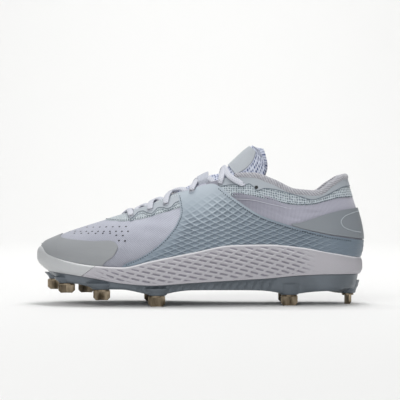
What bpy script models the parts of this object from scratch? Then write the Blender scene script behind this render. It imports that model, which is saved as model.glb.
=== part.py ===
"""Baseball cleat for the left foot: toe towards -X, outer side of the foot towards -Y, studs on the floor."""

import math
from functools import lru_cache

import bmesh
import bpy
import numpy as np
from mathutils import Matrix, Vector

for old in list(bpy.data.objects):
    bpy.data.objects.remove(old)

# Main sizes of the shoe, in metres
length = 0.298
ball_width = 0.1048
sole_height = 0.0555  # floor to the highest point of the midsole rim
instep_height = 0.120  # floor to the front of the collar
wall = 0.0024  # upper
gap = 0.0003  # between neighbouring pieces
skin_gap = 0.0005  # between the upper and a panel laid on it
skin_thick = 0.0009  # laid panels
film_thick = 0.0005  # eyestay film, a step in the upper's wall
tongue_thick = 0.0045
insole_thick = 0.0042
plate_thick = 0.0031
roll_radius = 0.0030
lace_width = 0.0048
lace_thick = 0.0017
eyelet_radius = 0.0017
blade_height = 0.0100  # stud below its boss
blade_width = 0.0150
blade_thick = 0.0024
blade_bend = 0.0034
blade_corner = 0.0024  # cut off each lower corner
stud_foot = 0.0016  # flange between blade and boss
stud_foot_deep = 0.0056
boss_foot = 0.0086  # half lengths and half depths of a boss, from its foot up to the plate
boss_foot_deep = 0.0073
boss_neck = 0.0088
boss_neck_deep = 0.0078
boss_top = 0.0108
boss_top_deep = 0.0095
boss_sunk = 0.0012  # into the plate
boss_least = 0.0020  # least height below the plate
flute_width = 0.0040  # flutes down the sides of the plate
flute_depth = 0.0030
flute_step = 0.0069
flute_count = 12
keeper_thick = 0.0010
keeper_arch = 0.0052  # lifts the keeper over the lace that it holds
label_thick = 0.0010
lace_clear = 0.0007  # between a lace and what it lies on

# Resolution
stations = 36  # along the shoe, closer together at toe and heel
rises = 10  # up the side of the upper
round_sides = 8
lace_sides = 6
half_turn = math.pi
whole_turn = 2 * math.pi
tiny = 1e-6

# Sole: edge on the outer and inner side of the foot as shares of ball_width, heights as shares of sole_height
sole_names = "share outer inner floor parting bed rim low_in rim_in"
sole_rows = [
    (0.000, -0.080, 0.080, 0.540, 0.585, 0.712, 0.990, 0.085, 0.046),
    (0.020, 0.105, 0.240, 0.530, 0.573, 0.703, 0.955, 0.070, 0.040),
    (0.050, 0.225, 0.330, 0.480, 0.544, 0.676, 0.840, 0.045, 0.026),
    (0.100, 0.335, 0.400, 0.396, 0.515, 0.622, 0.730, 0.028, 0.020),
    (0.190, 0.432, 0.462, 0.321, 0.449, 0.546, 0.654, 0.018, 0.012),
    (0.270, 0.482, 0.492, 0.281, 0.377, 0.486, 0.634, 0.017, 0.011),
    (0.360, 0.508, 0.478, 0.236, 0.346, 0.468, 0.738, 0.017, 0.011),
    (0.480, 0.494, 0.404, 0.265, 0.386, 0.523, 0.868, 0.018, 0.011),
    (0.600, 0.438, 0.328, 0.260, 0.420, 0.591, 0.985, 0.018, 0.011),
    (0.700, 0.388, 0.310, 0.250, 0.447, 0.634, 0.993, 0.018, 0.011),
    (0.800, 0.362, 0.328, 0.232, 0.494, 0.659, 0.948, 0.018, 0.011),
    (0.900, 0.338, 0.325, 0.238, 0.512, 0.674, 0.858, 0.018, 0.012),
    (0.970, 0.232, 0.228, 0.300, 0.508, 0.681, 0.786, 0.020, 0.014),
    (1.000, 0.000, 0.000, 0.340, 0.478, 0.685, 0.762, 0.028, 0.017),
]

# Upper: top line as shares of instep_height, widths as shares of ball_width, and the bend of each section
upper_names = "share top ridge mouth forward shelf tuck high_in high_up low_up"
upper_rows = [
    (0.000, 0.454, 0.080, 0.000, 0.057, 0.031, 0.040, 0.50, 0.62, 0.25),
    (0.020, 0.479, 0.080, 0.000, 0.034, 0.031, 0.044, 0.55, 0.84, 0.24),
    (0.050, 0.505, 0.078, 0.000, 0.017, 0.030, 0.048, 0.60, 0.95, 0.24),
    (0.100, 0.552, 0.072, 0.000, 0.006, 0.029, 0.050, 0.64, 1.00, 0.25),
    (0.170, 0.607, 0.062, 0.000, 0.000, 0.027, 0.050, 0.64, 1.00, 0.26),
    (0.252, 0.671, 0.052, 0.000, 0.000, 0.025, 0.050, 0.60, 0.98, 0.26),
    (0.272, 0.686, 0.050, 0.060, 0.000, 0.025, 0.050, 0.58, 0.94, 0.26),
    (0.300, 0.706, 0.047, 0.085, 0.000, 0.024, 0.050, 0.56, 0.90, 0.26),
    (0.360, 0.764, 0.043, 0.104, 0.000, 0.024, 0.050, 0.54, 0.84, 0.26),
    (0.450, 0.857, 0.036, 0.124, 0.000, 0.024, 0.050, 0.50, 0.82, 0.27),
    (0.530, 0.923, 0.026, 0.146, 0.000, 0.024, 0.050, 0.45, 0.80, 0.27),
    (0.600, 0.958, 0.016, 0.188, 0.000, 0.024, 0.048, 0.38, 0.76, 0.27),
    (0.660, 0.955, 0.008, 0.246, 0.000, 0.023, 0.046, 0.32, 0.70, 0.27),
    (0.720, 0.909, 0.003, 0.284, -0.008, 0.021, 0.044, 0.30, 0.68, 0.27),
    (0.800, 0.832, 0.000, 0.298, -0.034, 0.017, 0.042, 0.30, 0.66, 0.27),
    (0.880, 0.820, 0.000, 0.278, -0.072, 0.011, 0.042, 0.30, 0.66, 0.27),
    (0.940, 0.893, 0.000, 0.214, -0.105, 0.006, 0.044, 0.30, 0.66, 0.27),
    (0.980, 0.940, 0.000, 0.122, -0.126, 0.002, 0.048, 0.31, 0.66, 0.27),
    (1.000, 0.950, 0.000, 0.000, -0.133, 0.000, 0.052, 0.32, 0.66, 0.27),
]

# Rows along the lacing: share of length, drop of the hole below the top line as a share of instep_height,
# and whether the hole goes through the saddle panel
eyelet_rows = [
    (0.296, 0.038, 0),
    (0.353, 0.044, 0),
    (0.401, 0.050, 0),
    (0.480, 0.034, 1),
    (0.565, 0.034, 0),
    (0.629, 0.055, 0),
    (0.672, 0.070, 0),
]

# Studs: name, share of length, side offset as a share of ball_width, tip above the floor as a share of
# sole_height, turn about the vertical in degrees, size of its boss, how far the boss flares along the shoe
stud_rows = [
    ("toe_stud_inner", 0.056, 0.168, 0.222, -12, 0.8, 1.0),
    ("toe_stud_outer", 0.098, -0.190, 0.200, 14, 0.8, 1.0),
    ("front_stud_inner", 0.146, 0.330, 0.150, 0, 0.9, 1.25),
    ("front_stud_outer", 0.208, -0.350, 0.098, 8, 1.0, 1.5),
    ("ball_stud_inner", 0.352, 0.335, 0.000, 4, 1.0, 1.7),
    ("ball_stud_outer", 0.374, -0.385, 0.000, -4, 1.0, 1.7),
    ("heel_stud_inner", 0.771, 0.215, 0.000, 0, 1.0, 1.7),
    ("heel_stud_outer", 0.771, -0.245, 0.000, 0, 1.0, 1.7),
    ("heel_stud_back", 0.955, 0.000, 0.000, 90, 1.0, 1.0),
]

# Panels seen from the side: share of length, share of instep_height
toe_panel = [
    (-0.030, 0.600), (0.072, 0.530), (0.085, 0.503), (0.121, 0.489), (0.188, 0.479), (0.236, 0.484),
    (0.254, 0.470), (0.260, 0.441), (0.254, 0.400), (0.241, 0.360), (0.221, 0.330), (0.195, 0.240),
    (-0.030, 0.240),
]
saddle_panel = [
    (0.270, 0.240), (0.277, 0.310), (0.323, 0.359), (0.368, 0.429), (0.407, 0.518), (0.434, 0.612),
    (0.446, 0.700), (0.442, 0.760), (0.437, 0.822), (0.473, 0.858), (0.503, 0.884), (0.541, 0.905),
    (0.562, 0.886), (0.589, 0.828), (0.640, 0.737), (0.682, 0.675), (0.761, 0.606), (0.816, 0.567),
    (0.862, 0.540), (0.908, 0.517), (0.957, 0.499), (1.040, 0.470), (1.040, 0.200),
]
heel_panel = [
    (0.776, 0.610), (0.790, 0.612), (0.831, 0.637), (0.878, 0.674), (0.925, 0.704), (0.976, 0.722),
    (1.040, 0.735), (1.040, 0.478), (0.957, 0.507), (0.908, 0.525), (0.862, 0.548), (0.816, 0.575),
    (0.785, 0.596),
]
heel_oval = [
    (1.040, 0.702), (0.977, 0.693), (0.955, 0.682), (0.932, 0.658), (0.923, 0.623), (0.928, 0.590),
    (0.949, 0.563), (0.971, 0.549), (1.040, 0.530),
]
film_front = [
    (0.292, 0.640), (0.309, 0.684), (0.322, 0.698), (0.341, 0.682), (0.357, 0.679), (0.370, 0.706),
    (0.385, 0.726), (0.404, 0.716), (0.418, 0.734), (0.430, 0.764), (0.430, 0.900), (0.292, 0.720),
]
film_rear = [
    (0.570, 0.900), (0.593, 0.900), (0.610, 0.901), (0.628, 0.885), (0.640, 0.902), (0.651, 0.907),
    (0.662, 0.889), (0.673, 0.858), (0.686, 0.866), (0.699, 0.874), (0.740, 0.858), (0.740, 1.000),
    (0.570, 1.000),
]
bumper_seam = [(-0.100, -0.200), (0.1350, 0.200), (0.1925, 0.3060), (0.300, 0.504), (-0.100, 0.700)]

# Tongue inside the throat: share of length, rise of its middle over its sides, how far down the wall it tucks
tongue_rows = [
    (0.235, -0.004, 0.86),
    (0.268, 0.008, 0.86),
    (0.300, 0.024, 0.86),
    (0.360, 0.036, 0.88),
    (0.420, 0.048, 0.90),
    (0.480, 0.064, 0.90),
    (0.530, 0.084, 0.90),
]
# Tongue above the throat: middle and side as shares of length and instep_height, half width of ball_width
tongue_tip_rows = [
    (0.568, 0.998, 0.590, 0.900, 0.178),
    (0.592, 1.056, 0.640, 0.895, 0.185),
    (0.614, 1.108, 0.680, 0.930, 0.185),
    (0.636, 1.158, 0.700, 1.010, 0.180),
    (0.654, 1.192, 0.696, 1.100, 0.165),
    (0.664, 1.206, 0.682, 1.165, 0.135),
]

shoe = bpy.data.collections.new("baseball_cleat")
cutting = bpy.data.collections.new("cutters")
bpy.context.scene.collection.children.link(shoe)
bpy.context.scene.collection.children.link(cutting)


# Reading the tables
def slopes(at, values):
    """Slopes that keep a curve through the values from overshooting them"""
    step = np.diff(at)
    rate = np.diff(values) / step
    found = np.zeros(len(values))
    found[0] = rate[0]
    found[-1] = rate[-1]
    for i in range(1, len(values) - 1):
        if rate[i - 1] * rate[i] > 0:
            before = 2 * step[i] + step[i - 1]
            after = step[i] + 2 * step[i - 1]
            found[i] = (before + after) / (before / rate[i - 1] + after / rate[i])
    return found


def curve(at, values):
    """Smooth function through the values, straight beyond both ends"""
    slope = slopes(at, values)

    def value(x):
        if x <= at[0]:
            return values[0] + slope[0] * (x - at[0])
        if x >= at[-1]:
            return values[-1] + slope[-1] * (x - at[-1])
        i = int(np.searchsorted(at, x)) - 1
        wide = at[i + 1] - at[i]
        t = (x - at[i]) / wide
        start = (1 + 2 * t) * (1 - t) ** 2 * values[i] + t * t * (3 - 2 * t) * values[i + 1]
        return start + wide * t * (1 - t) * ((1 - t) * slope[i] - t * slope[i + 1])

    return value


def angle_at(share):
    """Station angle of a share of the length: 0 at the toe, half a turn at the heel"""
    return math.acos(1 - 2 * min(max(share, 0.0), 1.0))


def columns(names, rows):
    data = np.array(rows, float)
    at = np.array([angle_at(share) for share in data[:, 0]])
    return {name: curve(at, data[:, k]) for k, name in enumerate(names.split()) if k}


sole = columns(sole_names, sole_rows)
upper = columns(upper_names, upper_rows)


def share_at(angle):
    return (1 - math.cos(angle)) / 2


def floor_line(angle):
    return sole_height * sole["floor"](angle)


def parting_line(angle):
    return sole_height * sole["parting"](angle)


def bed_line(angle):
    return sole_height * sole["bed"](angle)


def rim_line(angle):
    return sole_height * sole["rim"](angle)


def angle_side(turn):
    """Station angle and side of the shoe, outer first, for a turn round it from the toe"""
    turn = turn % whole_turn
    if turn <= half_turn:
        return turn, -1
    return whole_turn - turn, 1


# Plan of the sole
def edge_point(angle, side):
    reach = sole["outer"](angle) if side < 0 else sole["inner"](angle)
    return Vector((length * (share_at(angle) - 0.5), side * ball_width * reach))


@lru_cache(maxsize=None)
def edge(angle, side):
    """Point of the sole's edge and the direction out of it"""
    step = 0.004
    along = edge_point(angle + step, side) - edge_point(angle - step, side)
    out = Vector((along.y, -along.x)) * -side
    return edge_point(angle, side), out.normalized()


def inset(turn, amount, height):
    """Point of the sole set in from its edge, at the height that a line of the sole has there"""
    angle, side = angle_side(turn)
    point, out = edge(angle, side)
    flat = point - out * amount
    return Vector((flat.x, flat.y, height(angle_at(flat.x / length + 0.5))))


# Upper
@lru_cache(maxsize=None)
def section(angle, side):
    """Four points that steer one side of a section, from the sole up to the top line"""
    point, out = edge(angle, side)
    fullest = point - out * ball_width * upper["shelf"](angle)
    forward = upper["forward"](angle)
    top = Vector((
        length * (share_at(angle) - 0.5) + ball_width * forward,
        ball_width * (upper["ridge"](angle) + side * upper["mouth"](angle)),
    ))
    tuck = ball_width * upper["tuck"](angle)
    high_in = upper["high_in"](angle)
    across = (fullest - top).length
    flare = (0.343 * tuck + (0.189 * (1 - high_in) + 0.027) * across) / (0.441 + 0.189 * high_in)
    low = fullest + out * flare
    high = top + (low - top) * high_in
    start = bed_line(angle) + gap
    rise = instep_height * upper["top"](angle) - start
    flat = (fullest - out * tuck, low, high, top)
    up = (0, upper["low_up"](angle), upper["high_up"](angle), 1)
    return tuple(Vector((p.x, p.y, start + rise * u)) for p, u in zip(flat, up))


def lasted(turn, rise):
    """Point of the upper's outside: rise goes from 0 at the sole to 1 at the top line"""
    a, b, c, d = section(*angle_side(turn))
    t = rise
    return a * (1 - t) ** 3 + b * (3 * t * (1 - t) ** 2) + c * (3 * t * t * (1 - t)) + d * t ** 3


def outward(turn, rise):
    step = 0.004
    low = max(rise - step, 0.0)
    high = min(rise + step, 1.0)
    along = lasted(turn + step, rise) - lasted(turn - step, rise)
    if along.length < tiny:
        return outward(turn, rise - 8 * step)
    up = lasted(turn, high) - lasted(turn, low)
    return along.cross(up).normalized()


def closed_top(angle):
    return upper["mouth"](angle) < tiny and angle < half_turn / 2


def normal(turn, rise):
    """Direction out of the upper; both sides share it along the closed ridge"""
    found = outward(turn, rise)
    angle = angle_side(turn)[0]
    if rise > 1 - tiny and closed_top(angle):
        found = (found + outward(whole_turn - turn, rise)).normalized()
    return found


def skin(turn, rise, out=0.0):
    return lasted(turn, rise) + normal(turn, rise) * out


def rise_at(turn, height, out=0.0):
    """Share of the way up the upper's section at a height, on its outside or off it"""
    low, high = 0.0, 1.0
    for _ in range(20):
        middle = (low + high) / 2
        if skin(turn, middle, out).z < height:
            low = middle
        else:
            high = middle
    return (low + high) / 2


throat = angle_at(0.252)
station_angles = [half_turn * i / stations for i in range(stations + 1)]
nearest = min(range(stations + 1), key=lambda i: abs(station_angles[i] - throat))
station_angles[nearest] = throat
turns = station_angles + [whole_turn - a for a in station_angles[-2:0:-1]]
rise_steps = [k / rises for k in range(rises + 1)]


# Making objects
def place(mesh, name, colour, roughness, metallic=0.0, group=shoe):
    made = bpy.data.objects.new(name, mesh)
    group.objects.link(made)
    finish = bpy.data.materials.new(name)
    finish.use_nodes = True
    shader = finish.node_tree.nodes["Principled BSDF"]
    shader.inputs["Base Color"].default_value = (*colour, 1)
    shader.inputs["Roughness"].default_value = roughness
    shader.inputs["Metallic"].default_value = metallic
    mesh.materials.clear()
    mesh.materials.append(finish)
    return made


def cutter(mesh, name):
    made = bpy.data.objects.new(name, mesh)
    cutting.objects.link(made)
    made.hide_render = True
    made.display_type = "WIRE"
    return made


def mesh_of(name, points, faces, outwards=True):
    """Mesh from points and faces, with doubles merged and, on a closed one, the faces turned out"""
    mesh = bpy.data.meshes.new(name)
    mesh.from_pydata([tuple(p) for p in points], [], faces)
    shape = bmesh.new()
    shape.from_mesh(mesh)
    bmesh.ops.remove_doubles(shape, verts=shape.verts, dist=2 * tiny)
    if outwards:
        bmesh.ops.recalc_face_normals(shape, faces=shape.faces)
    shape.to_mesh(mesh)
    shape.free()
    return mesh


def ladder(base, count):
    """Faces that close a ring of the shoe, from its outer to its inner side"""
    half = count // 2
    rungs = [(base + i, base + (count - i) % count) for i in range(half + 1)]
    faces = []
    for (a, b), (c, d) in zip(rungs, rungs[1:]):
        face = [a, c, d, b]
        faces.append(list(dict.fromkeys(face)))
    return [face for face in faces if len(face) > 2]


def loft(name, rings):
    """Closed body through rings that all go once round the shoe, from the toe"""
    count = len(rings[0])
    points = [p for ring in rings for p in ring]
    faces = []
    for r in range(len(rings) - 1):
        for i in range(count):
            j = (i + 1) % count
            faces.append([r * count + i, r * count + j, (r + 1) * count + j, (r + 1) * count + i])
    faces += ladder(0, count)
    faces += ladder((len(rings) - 1) * count, count)
    return mesh_of(name, points, faces)


def tube(name, rings):
    """Closed body through rings of one count, closed flat at both ends"""
    count = len(rings[0])
    points = [p for ring in rings for p in ring]
    faces = [list(range(count))[::-1]]
    for r in range(len(rings) - 1):
        for i in range(count):
            j = (i + 1) % count
            faces.append([r * count + i, r * count + j, (r + 1) * count + j, (r + 1) * count + i])
    last = (len(rings) - 1) * count
    faces.append([last + i for i in range(count)])
    return mesh_of(name, points, faces)


def boolean(target, tool, kind):
    step = target.modifiers.new(kind.lower(), "BOOLEAN")
    step.operation = kind
    step.solver = "EXACT"
    step.object = tool
    bpy.context.view_layer.update()
    seen = target.evaluated_get(bpy.context.evaluated_depsgraph_get())
    result = bpy.data.meshes.new_from_object(seen)
    target.modifiers.clear()
    target.data = result
    shape = bmesh.new()
    shape.from_mesh(result)
    bmesh.ops.remove_doubles(shape, verts=shape.verts, dist=tiny)
    shape.to_mesh(result)
    shape.free()
    return target


def cut(target, tool):
    return boolean(target, tool, "DIFFERENCE")


def join(target, tool):
    return boolean(target, tool, "UNION")


def keep(target, tool):
    return boolean(target, tool, "INTERSECT")


def upper_form(name, out, lift=0.0, drop=0.0):
    """Filled form of the upper, its outside moved out; lift raises its flat top, drop lowers its base"""
    rings = [[skin(t, k, out) for t in turns] for k in rise_steps]
    if drop:
        rings.insert(0, [p - Vector((0, 0, drop)) for p in rings[0]])
    if lift:
        opened = [min(abs(upper["mouth"](angle_side(t)[0])) / 0.06, 1) for t in turns]
        rings.append([p + Vector((0, 0, lift * o)) for p, o in zip(rings[-1], opened)])
    return loft(name, rings)


def side_prism(name, outline, near=-1.0, far=1.0):
    """Block with an outline drawn from the side, across the shoe between two shares of ball_width"""
    ring = [(length * (x - 0.5), instep_height * z) for x, z in outline]
    rings = [[Vector((x, ball_width * y, z)) for x, z in ring] for y in (near, far)]
    return tube(name, rings)


def sole_rings(grow):
    """Rings of the midsole's outside, from its underside up to the rim, all grown by one amount"""
    rings = []
    for height, amount in (
        (lambda a: floor_line(a) + tray_floor(a) + gap - grow, tray_room),
        (lambda a: parting_line(a) - grow, tray_room),
        (lambda a: parting_line(a) - grow, lambda a: sole["low_in"](a)),
        (lambda a: 0.55 * parting_line(a) + 0.45 * rim_line(a), middle_in),
        (lambda a: 0.06 * parting_line(a) + 0.94 * rim_line(a), lambda a: 0.5 * sole["rim_in"](a)),
        (lambda a: rim_line(a) + grow, lambda a: sole["rim_in"](a)),
    ):
        ring = []
        for turn in turns:
            angle = angle_side(turn)[0]
            ring.append(inset(turn, ball_width * amount(angle) - grow, height))
        rings.append(ring)
    return rings


tray_in = 0.052  # inside of the plate's wall, in from the midsole's lower edge, as a share of ball_width


def tray_room(angle):
    return tray_in + gap / ball_width + sole["low_in"](angle)


def middle_in(angle):
    """Hollow of the midsole's side; at toe and heel the side stands full"""
    return 0.010 * math.sin(angle) ** 2


def tray_floor(angle):
    """Thickness of the plate under the midsole"""
    return min(plate_thick, 0.45 * (parting_line(angle) - floor_line(angle)))


# Filled forms that shape the pieces round them
upper_room = cutter(upper_form("upper_room", gap, lift=0.02, drop=gap), "upper_room")
panel_inside = cutter(upper_form("panel_inside", skin_gap, lift=0.02, drop=0.004), "panel_inside")
sole_room = cutter(loft("sole_room", sole_rings(skin_gap)), "sole_room")

# Upper: one shell through the sections, open at the collar, at the throat and underneath
count = len(turns)
shell_points = [skin(t, k) for k in rise_steps for t in turns]
shell_faces = []
for k in range(rises):
    for i in range(count):
        j = (i + 1) % count
        shell_faces.append([k * count + i, k * count + j, (k + 1) * count + j, (k + 1) * count + i])
shell = place(mesh_of("upper", shell_points, shell_faces, outwards=False), "upper", (0.50, 0.52, 0.58), 0.8)
thicken = shell.modifiers.new("wall", "SOLIDIFY")
thicken.thickness = wall
thicken.offset = -1
thicken.use_even_offset = True
seen = shell.evaluated_get(bpy.context.evaluated_depsgraph_get())
shell.data = bpy.data.meshes.new_from_object(seen)
shell.modifiers.clear()


def panel(name, outline, out, colour, roughness, inside):
    """Panel of the upper's own form, between two offsets, inside an outline drawn from the side"""
    made = place(upper_form(name, out), name, colour, roughness)
    keep(made, cutter(side_prism(name + "_outline", outline), name + "_outline"))
    cut(made, inside)
    return made


film_inside = cutter(upper_form("film_inside", -wall / 2, lift=0.02, drop=0.004), "film_inside")
for film_name, outline in (("film_front", film_front), ("film_rear", film_rear)):
    film = cutter(upper_form(film_name, film_thick), film_name)
    keep(film, cutter(side_prism(film_name + "_outline", outline), film_name + "_outline"))
    cut(film, film_inside)
    join(shell, film)

# Eyelets
punch = bmesh.new()
for share, drop, _ in eyelet_rows:
    for turn in (angle_at(share), whole_turn - angle_at(share)):
        angle = angle_side(turn)[0]
        level = rise_at(turn, instep_height * (upper["top"](angle) - drop))
        out = normal(turn, level)
        turned = Vector((0, 0, 1)).rotation_difference(out).to_matrix().to_4x4()
        centre = Matrix.Translation(skin(turn, level, -wall / 2))
        bmesh.ops.create_cone(
            punch, cap_ends=True, segments=8, radius1=eyelet_radius, radius2=eyelet_radius,
            depth=4 * wall, matrix=centre @ turned,
        )
punch_mesh = bpy.data.meshes.new("eyelets")
punch.to_mesh(punch_mesh)
punch.free()
cut(shell, cutter(punch_mesh, "eyelets"))

# Midsole and toe bumper: one form, hollowed by the upper's form and parted by the slanted seam
seam_front = cutter(side_prism("seam_front", bumper_seam), "seam_front")
seam_back = cutter(
    side_prism("seam_back", [(x + gap / length, z) for x, z in bumper_seam]), "seam_back"
)
midsole = place(loft("midsole", sole_rings(0)), "midsole", (0.46, 0.44, 0.47), 0.75)
cut(midsole, upper_room)
cut(midsole, seam_back)
bumper = place(loft("toe_bumper", sole_rings(0)), "toe_bumper", (0.58, 0.61, 0.62), 0.6)
cut(bumper, upper_room)
keep(bumper, seam_front)

# Plate: a tray under the midsole
plate_sections = (
    (0.052, lambda a: floor_line(a)),
    (0.028, lambda a: floor_line(a) + 0.25 * (parting_line(a) - floor_line(a))),
    (0.012, lambda a: parting_line(a) - gap),
    (tray_in, lambda a: parting_line(a) - gap),
    (tray_in, lambda a: floor_line(a) + tray_floor(a)),
)
plate_rings = []
for share_in, height in plate_sections:
    ring = []
    for turn in turns:
        angle = angle_side(turn)[0]
        ring.append(inset(turn, ball_width * (share_in + sole["low_in"](angle)), height))
    plate_rings.append(ring)
plate = place(loft("plate", plate_rings), "plate", (0.16, 0.19, 0.22), 0.55)

# Bosses of the plate and the studs under them
def floor_at(x):
    return floor_line(angle_at(x / length + 0.5))


def boss(name, x, y, turn, base, size, flare):
    """Boss from the plate down to the stud, hollow-sided and narrower at the bottom"""
    turned = Matrix.Rotation(turn, 3, "Z")
    rings = []
    for wide, deep, part in ((boss_foot, boss_foot_deep, 0), (boss_neck * flare, boss_neck_deep, 0.55),
                             (boss_top * flare, boss_top_deep, 1)):
        ring = []
        for corner in range(round_sides):
            around = whole_turn * (corner + 0.5) / round_sides
            flat = Vector((wide * math.cos(around), deep * math.sin(around), 0)) * size
            spot = turned @ flat + Vector((x, y, 0))
            spot.z = base + (floor_at(spot.x) + boss_sunk - base) * part
            ring.append(spot)
        rings.append(ring)
    return cutter(tube(name, rings), name)


def stud(name, x, y, turn, tip, height):
    """Bent steel blade with cut corners, under a small foot that meets the boss"""
    half = blade_width / 2
    top = tip + height
    stops = [-half, -half + blade_corner, 0, half - blade_corner, half]
    lift = [blade_corner, 0, 0, 0, blade_corner]
    rings = []
    for stop, up in zip(stops, lift):
        bend = blade_bend * (0.5 - abs(stop) / half)
        ring = [
            (stop, bend - blade_thick / 2, tip + up),
            (stop, bend + blade_thick / 2, tip + up),
            (stop, bend + blade_thick / 2, top - stud_foot / 2),
            (stop, bend - blade_thick / 2, top - stud_foot / 2),
        ]
        rings.append([Vector(p) for p in ring])
    blade = tube(name, rings)
    made = place(blade, name, (0.42, 0.38, 0.32), 0.35, 1.0)
    flange = []
    for level in (top - stud_foot, top):
        ring = []
        for corner in range(round_sides):
            around = whole_turn * (corner + 0.5) / round_sides
            ring.append(Vector((half * math.cos(around), stud_foot_deep * math.sin(around), level)))
        flange.append(ring)
    join(made, cutter(tube(name + "_foot", flange), name + "_foot"))
    made.data.transform(Matrix.Translation((x, y, 0)) @ Matrix.Rotation(turn, 4, "Z"))
    return made


for name, share, offset, tip_share, degrees, size, flare in stud_rows:
    x = length * (share - 0.5)
    y = ball_width * offset
    tip = sole_height * tip_share
    base = min(tip + blade_height, floor_at(x) - boss_least)
    height = base - gap - tip
    turn = math.radians(degrees)
    join(plate, boss(name + "_boss", x, y, turn, base, size, flare))
    stud(name, x, y, turn, tip, height)

# Flutes down the sides of the plate at the waist
flute_first = 0.428  # share of the length
flutes = bmesh.new()
for n in range(flute_count):
    for side in (-1, 1):
        angle = angle_at(flute_first + n * flute_step / length)
        point, out = edge(angle, side)
        deep = point - out * ball_width * (0.009 + sole["low_in"](angle))
        low = floor_line(angle)
        tall = parting_line(angle) - low
        spot = Matrix.Translation((deep.x, deep.y, low + 0.52 * tall))
        around = Matrix.Rotation(math.atan2(out.y, out.x), 4, "Z")
        lean = Matrix.Rotation(0.20, 4, "Y")
        size = Matrix.Diagonal((flute_width, flute_depth, 0.50 * tall, 1))
        bmesh.ops.create_cube(flutes, size=1, matrix=spot @ around @ lean @ size)
flute_mesh = bpy.data.meshes.new("flutes")
flutes.to_mesh(flute_mesh)
flutes.free()
cut(plate, cutter(flute_mesh, "flutes"))

# Insole
insole_rings = []
inner = -(wall + 6 * gap)
for height in (gap, 0.5 * insole_thick, insole_thick):
    ring = []
    for turn in turns:
        level = bed_line(angle_side(turn)[0]) + height
        ring.append(skin(turn, rise_at(turn, level, inner), inner))
        ring[-1].z = level
    insole_rings.append(ring)
insole = place(loft("insole", insole_rings), "insole", (0.20, 0.22, 0.26), 0.85)

# Panels
toe_overlay = panel(
    "toe_overlay", toe_panel, skin_gap + skin_thick, (0.37, 0.39, 0.40), 0.7, panel_inside
)
cut(toe_overlay, sole_room)
saddle = panel(
    "saddle", saddle_panel, skin_gap + skin_thick, (0.34, 0.40, 0.44), 0.7, panel_inside
)
cut(saddle, sole_room)
counter = panel(
    "heel_counter", heel_panel, skin_gap + skin_thick, (0.24, 0.26, 0.28), 0.6, panel_inside
)

# Raised oval on the heel panel
oval_middle = (0.985, 0.617)
oval_rim = 0.80


def towards(outline, middle, share):
    return [(middle[0] + (x - middle[0]) * share, middle[1] + (z - middle[1]) * share) for x, z in outline]


oval = cutter(upper_form("oval", skin_gap + skin_thick + film_thick), "oval")
keep(oval, cutter(side_prism("oval_outside", heel_oval), "oval_outside"))
cut(oval, cutter(side_prism("oval_hollow", towards(heel_oval, oval_middle, oval_rim)), "oval_hollow"))
cut(oval, cutter(upper_form("oval_inside", skin_gap + skin_thick / 2, lift=0.02, drop=0.004), "oval_inside"))
join(counter, oval)


# Collar roll along the top line, from one side of the throat round the heel to the other
def roll_ring(turn):
    """Round section of the roll, square to the top line"""
    up = (lasted(turn, 1.0) - lasted(turn, 0.97)).normalized()
    centre = skin(turn, 1.0, -wall / 2) + up * (roll_radius * 1.04 + 2 * gap)
    before = skin(turn - 0.01, 1.0, -wall / 2)
    after = skin(turn + 0.01, 1.0, -wall / 2)
    along = (after - before).normalized()
    across = along.cross(up).normalized()
    over = across.cross(along)
    ring = []
    for n in range(8):
        around = whole_turn * (n + 0.5) / 8
        ring.append(centre + (across * math.cos(around) + over * math.sin(around)) * roll_radius * 1.04)
    return ring


roll_start = angle_at(0.614)
roll_turns = [roll_start] + [t for t in turns if roll_start + 0.03 < t < whole_turn - roll_start - 0.03]
roll_turns.append(whole_turn - roll_start)
roll = place(tube("collar_roll", [roll_ring(t) for t in roll_turns]), "collar_roll", (0.46, 0.45, 0.47), 0.9)


# Tongue
def bent(points, share):
    """Point on a smooth curve through an odd row of points"""
    spot = share * (len(points) - 1)
    i = min(int(spot), len(points) - 2)
    t = spot - i
    a = points[max(i - 1, 0)]
    b = points[i]
    c = points[i + 1]
    d = points[min(i + 2, len(points) - 1)]
    return b + (c - a) * (0.5 * t) + (a * 2 - b * 5 + c * 4 - d) * (0.5 * t * t) + (
        (b - c) * 3 + d - a) * (0.5 * t ** 3)


def tongue_row(share, crown, tuck):
    """Five points across the tongue where it runs under the throat's edges"""
    angle = angle_at(share)
    out = -(wall + 4 * gap)
    sides = []
    for turn in (angle, whole_turn - angle):
        sides.append((skin(turn, tuck, out), skin(turn, 1.0, out)))
    middle = (sides[0][1] + sides[1][1]) / 2 + Vector((0, 0, crown * ball_width))
    return [sides[0][0], sides[0][1], middle, sides[1][1], sides[1][0]]


def tongue_tip_row(mid_x, mid_z, side_x, side_z, half):
    """Five points across the tongue where it stands free"""
    middle = Vector((length * (mid_x - 0.5), ball_width * 0.01, instep_height * mid_z))
    row = []
    for across in (-1, -0.66, 0, 0.66, 1):
        share = abs(across) ** 1.7
        x = length * ((1 - share) * mid_x + share * side_x - 0.5)
        z = instep_height * ((1 - share) * mid_z + share * side_z)
        row.append(Vector((x, middle.y + ball_width * half * across * (1.12 - 0.12 * abs(across)), z)))
    return row


tongue_points = [tongue_row(*row) for row in tongue_rows]
tongue_points += [tongue_tip_row(*row) for row in tongue_tip_rows]


def tongue_at(along, across):
    """Point of the tongue's face: along goes from its toe end to its tip, across from outer to inner side"""
    column = [bent(row, across) for row in tongue_points]
    return bent(column, along)


def tongue_normal(along, across):
    step = 0.01
    first = tongue_at(min(along + step, 1), across) - tongue_at(max(along - step, 0), across)
    second = tongue_at(along, min(across + step, 1)) - tongue_at(along, max(across - step, 0))
    return first.cross(second).normalized()


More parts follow.
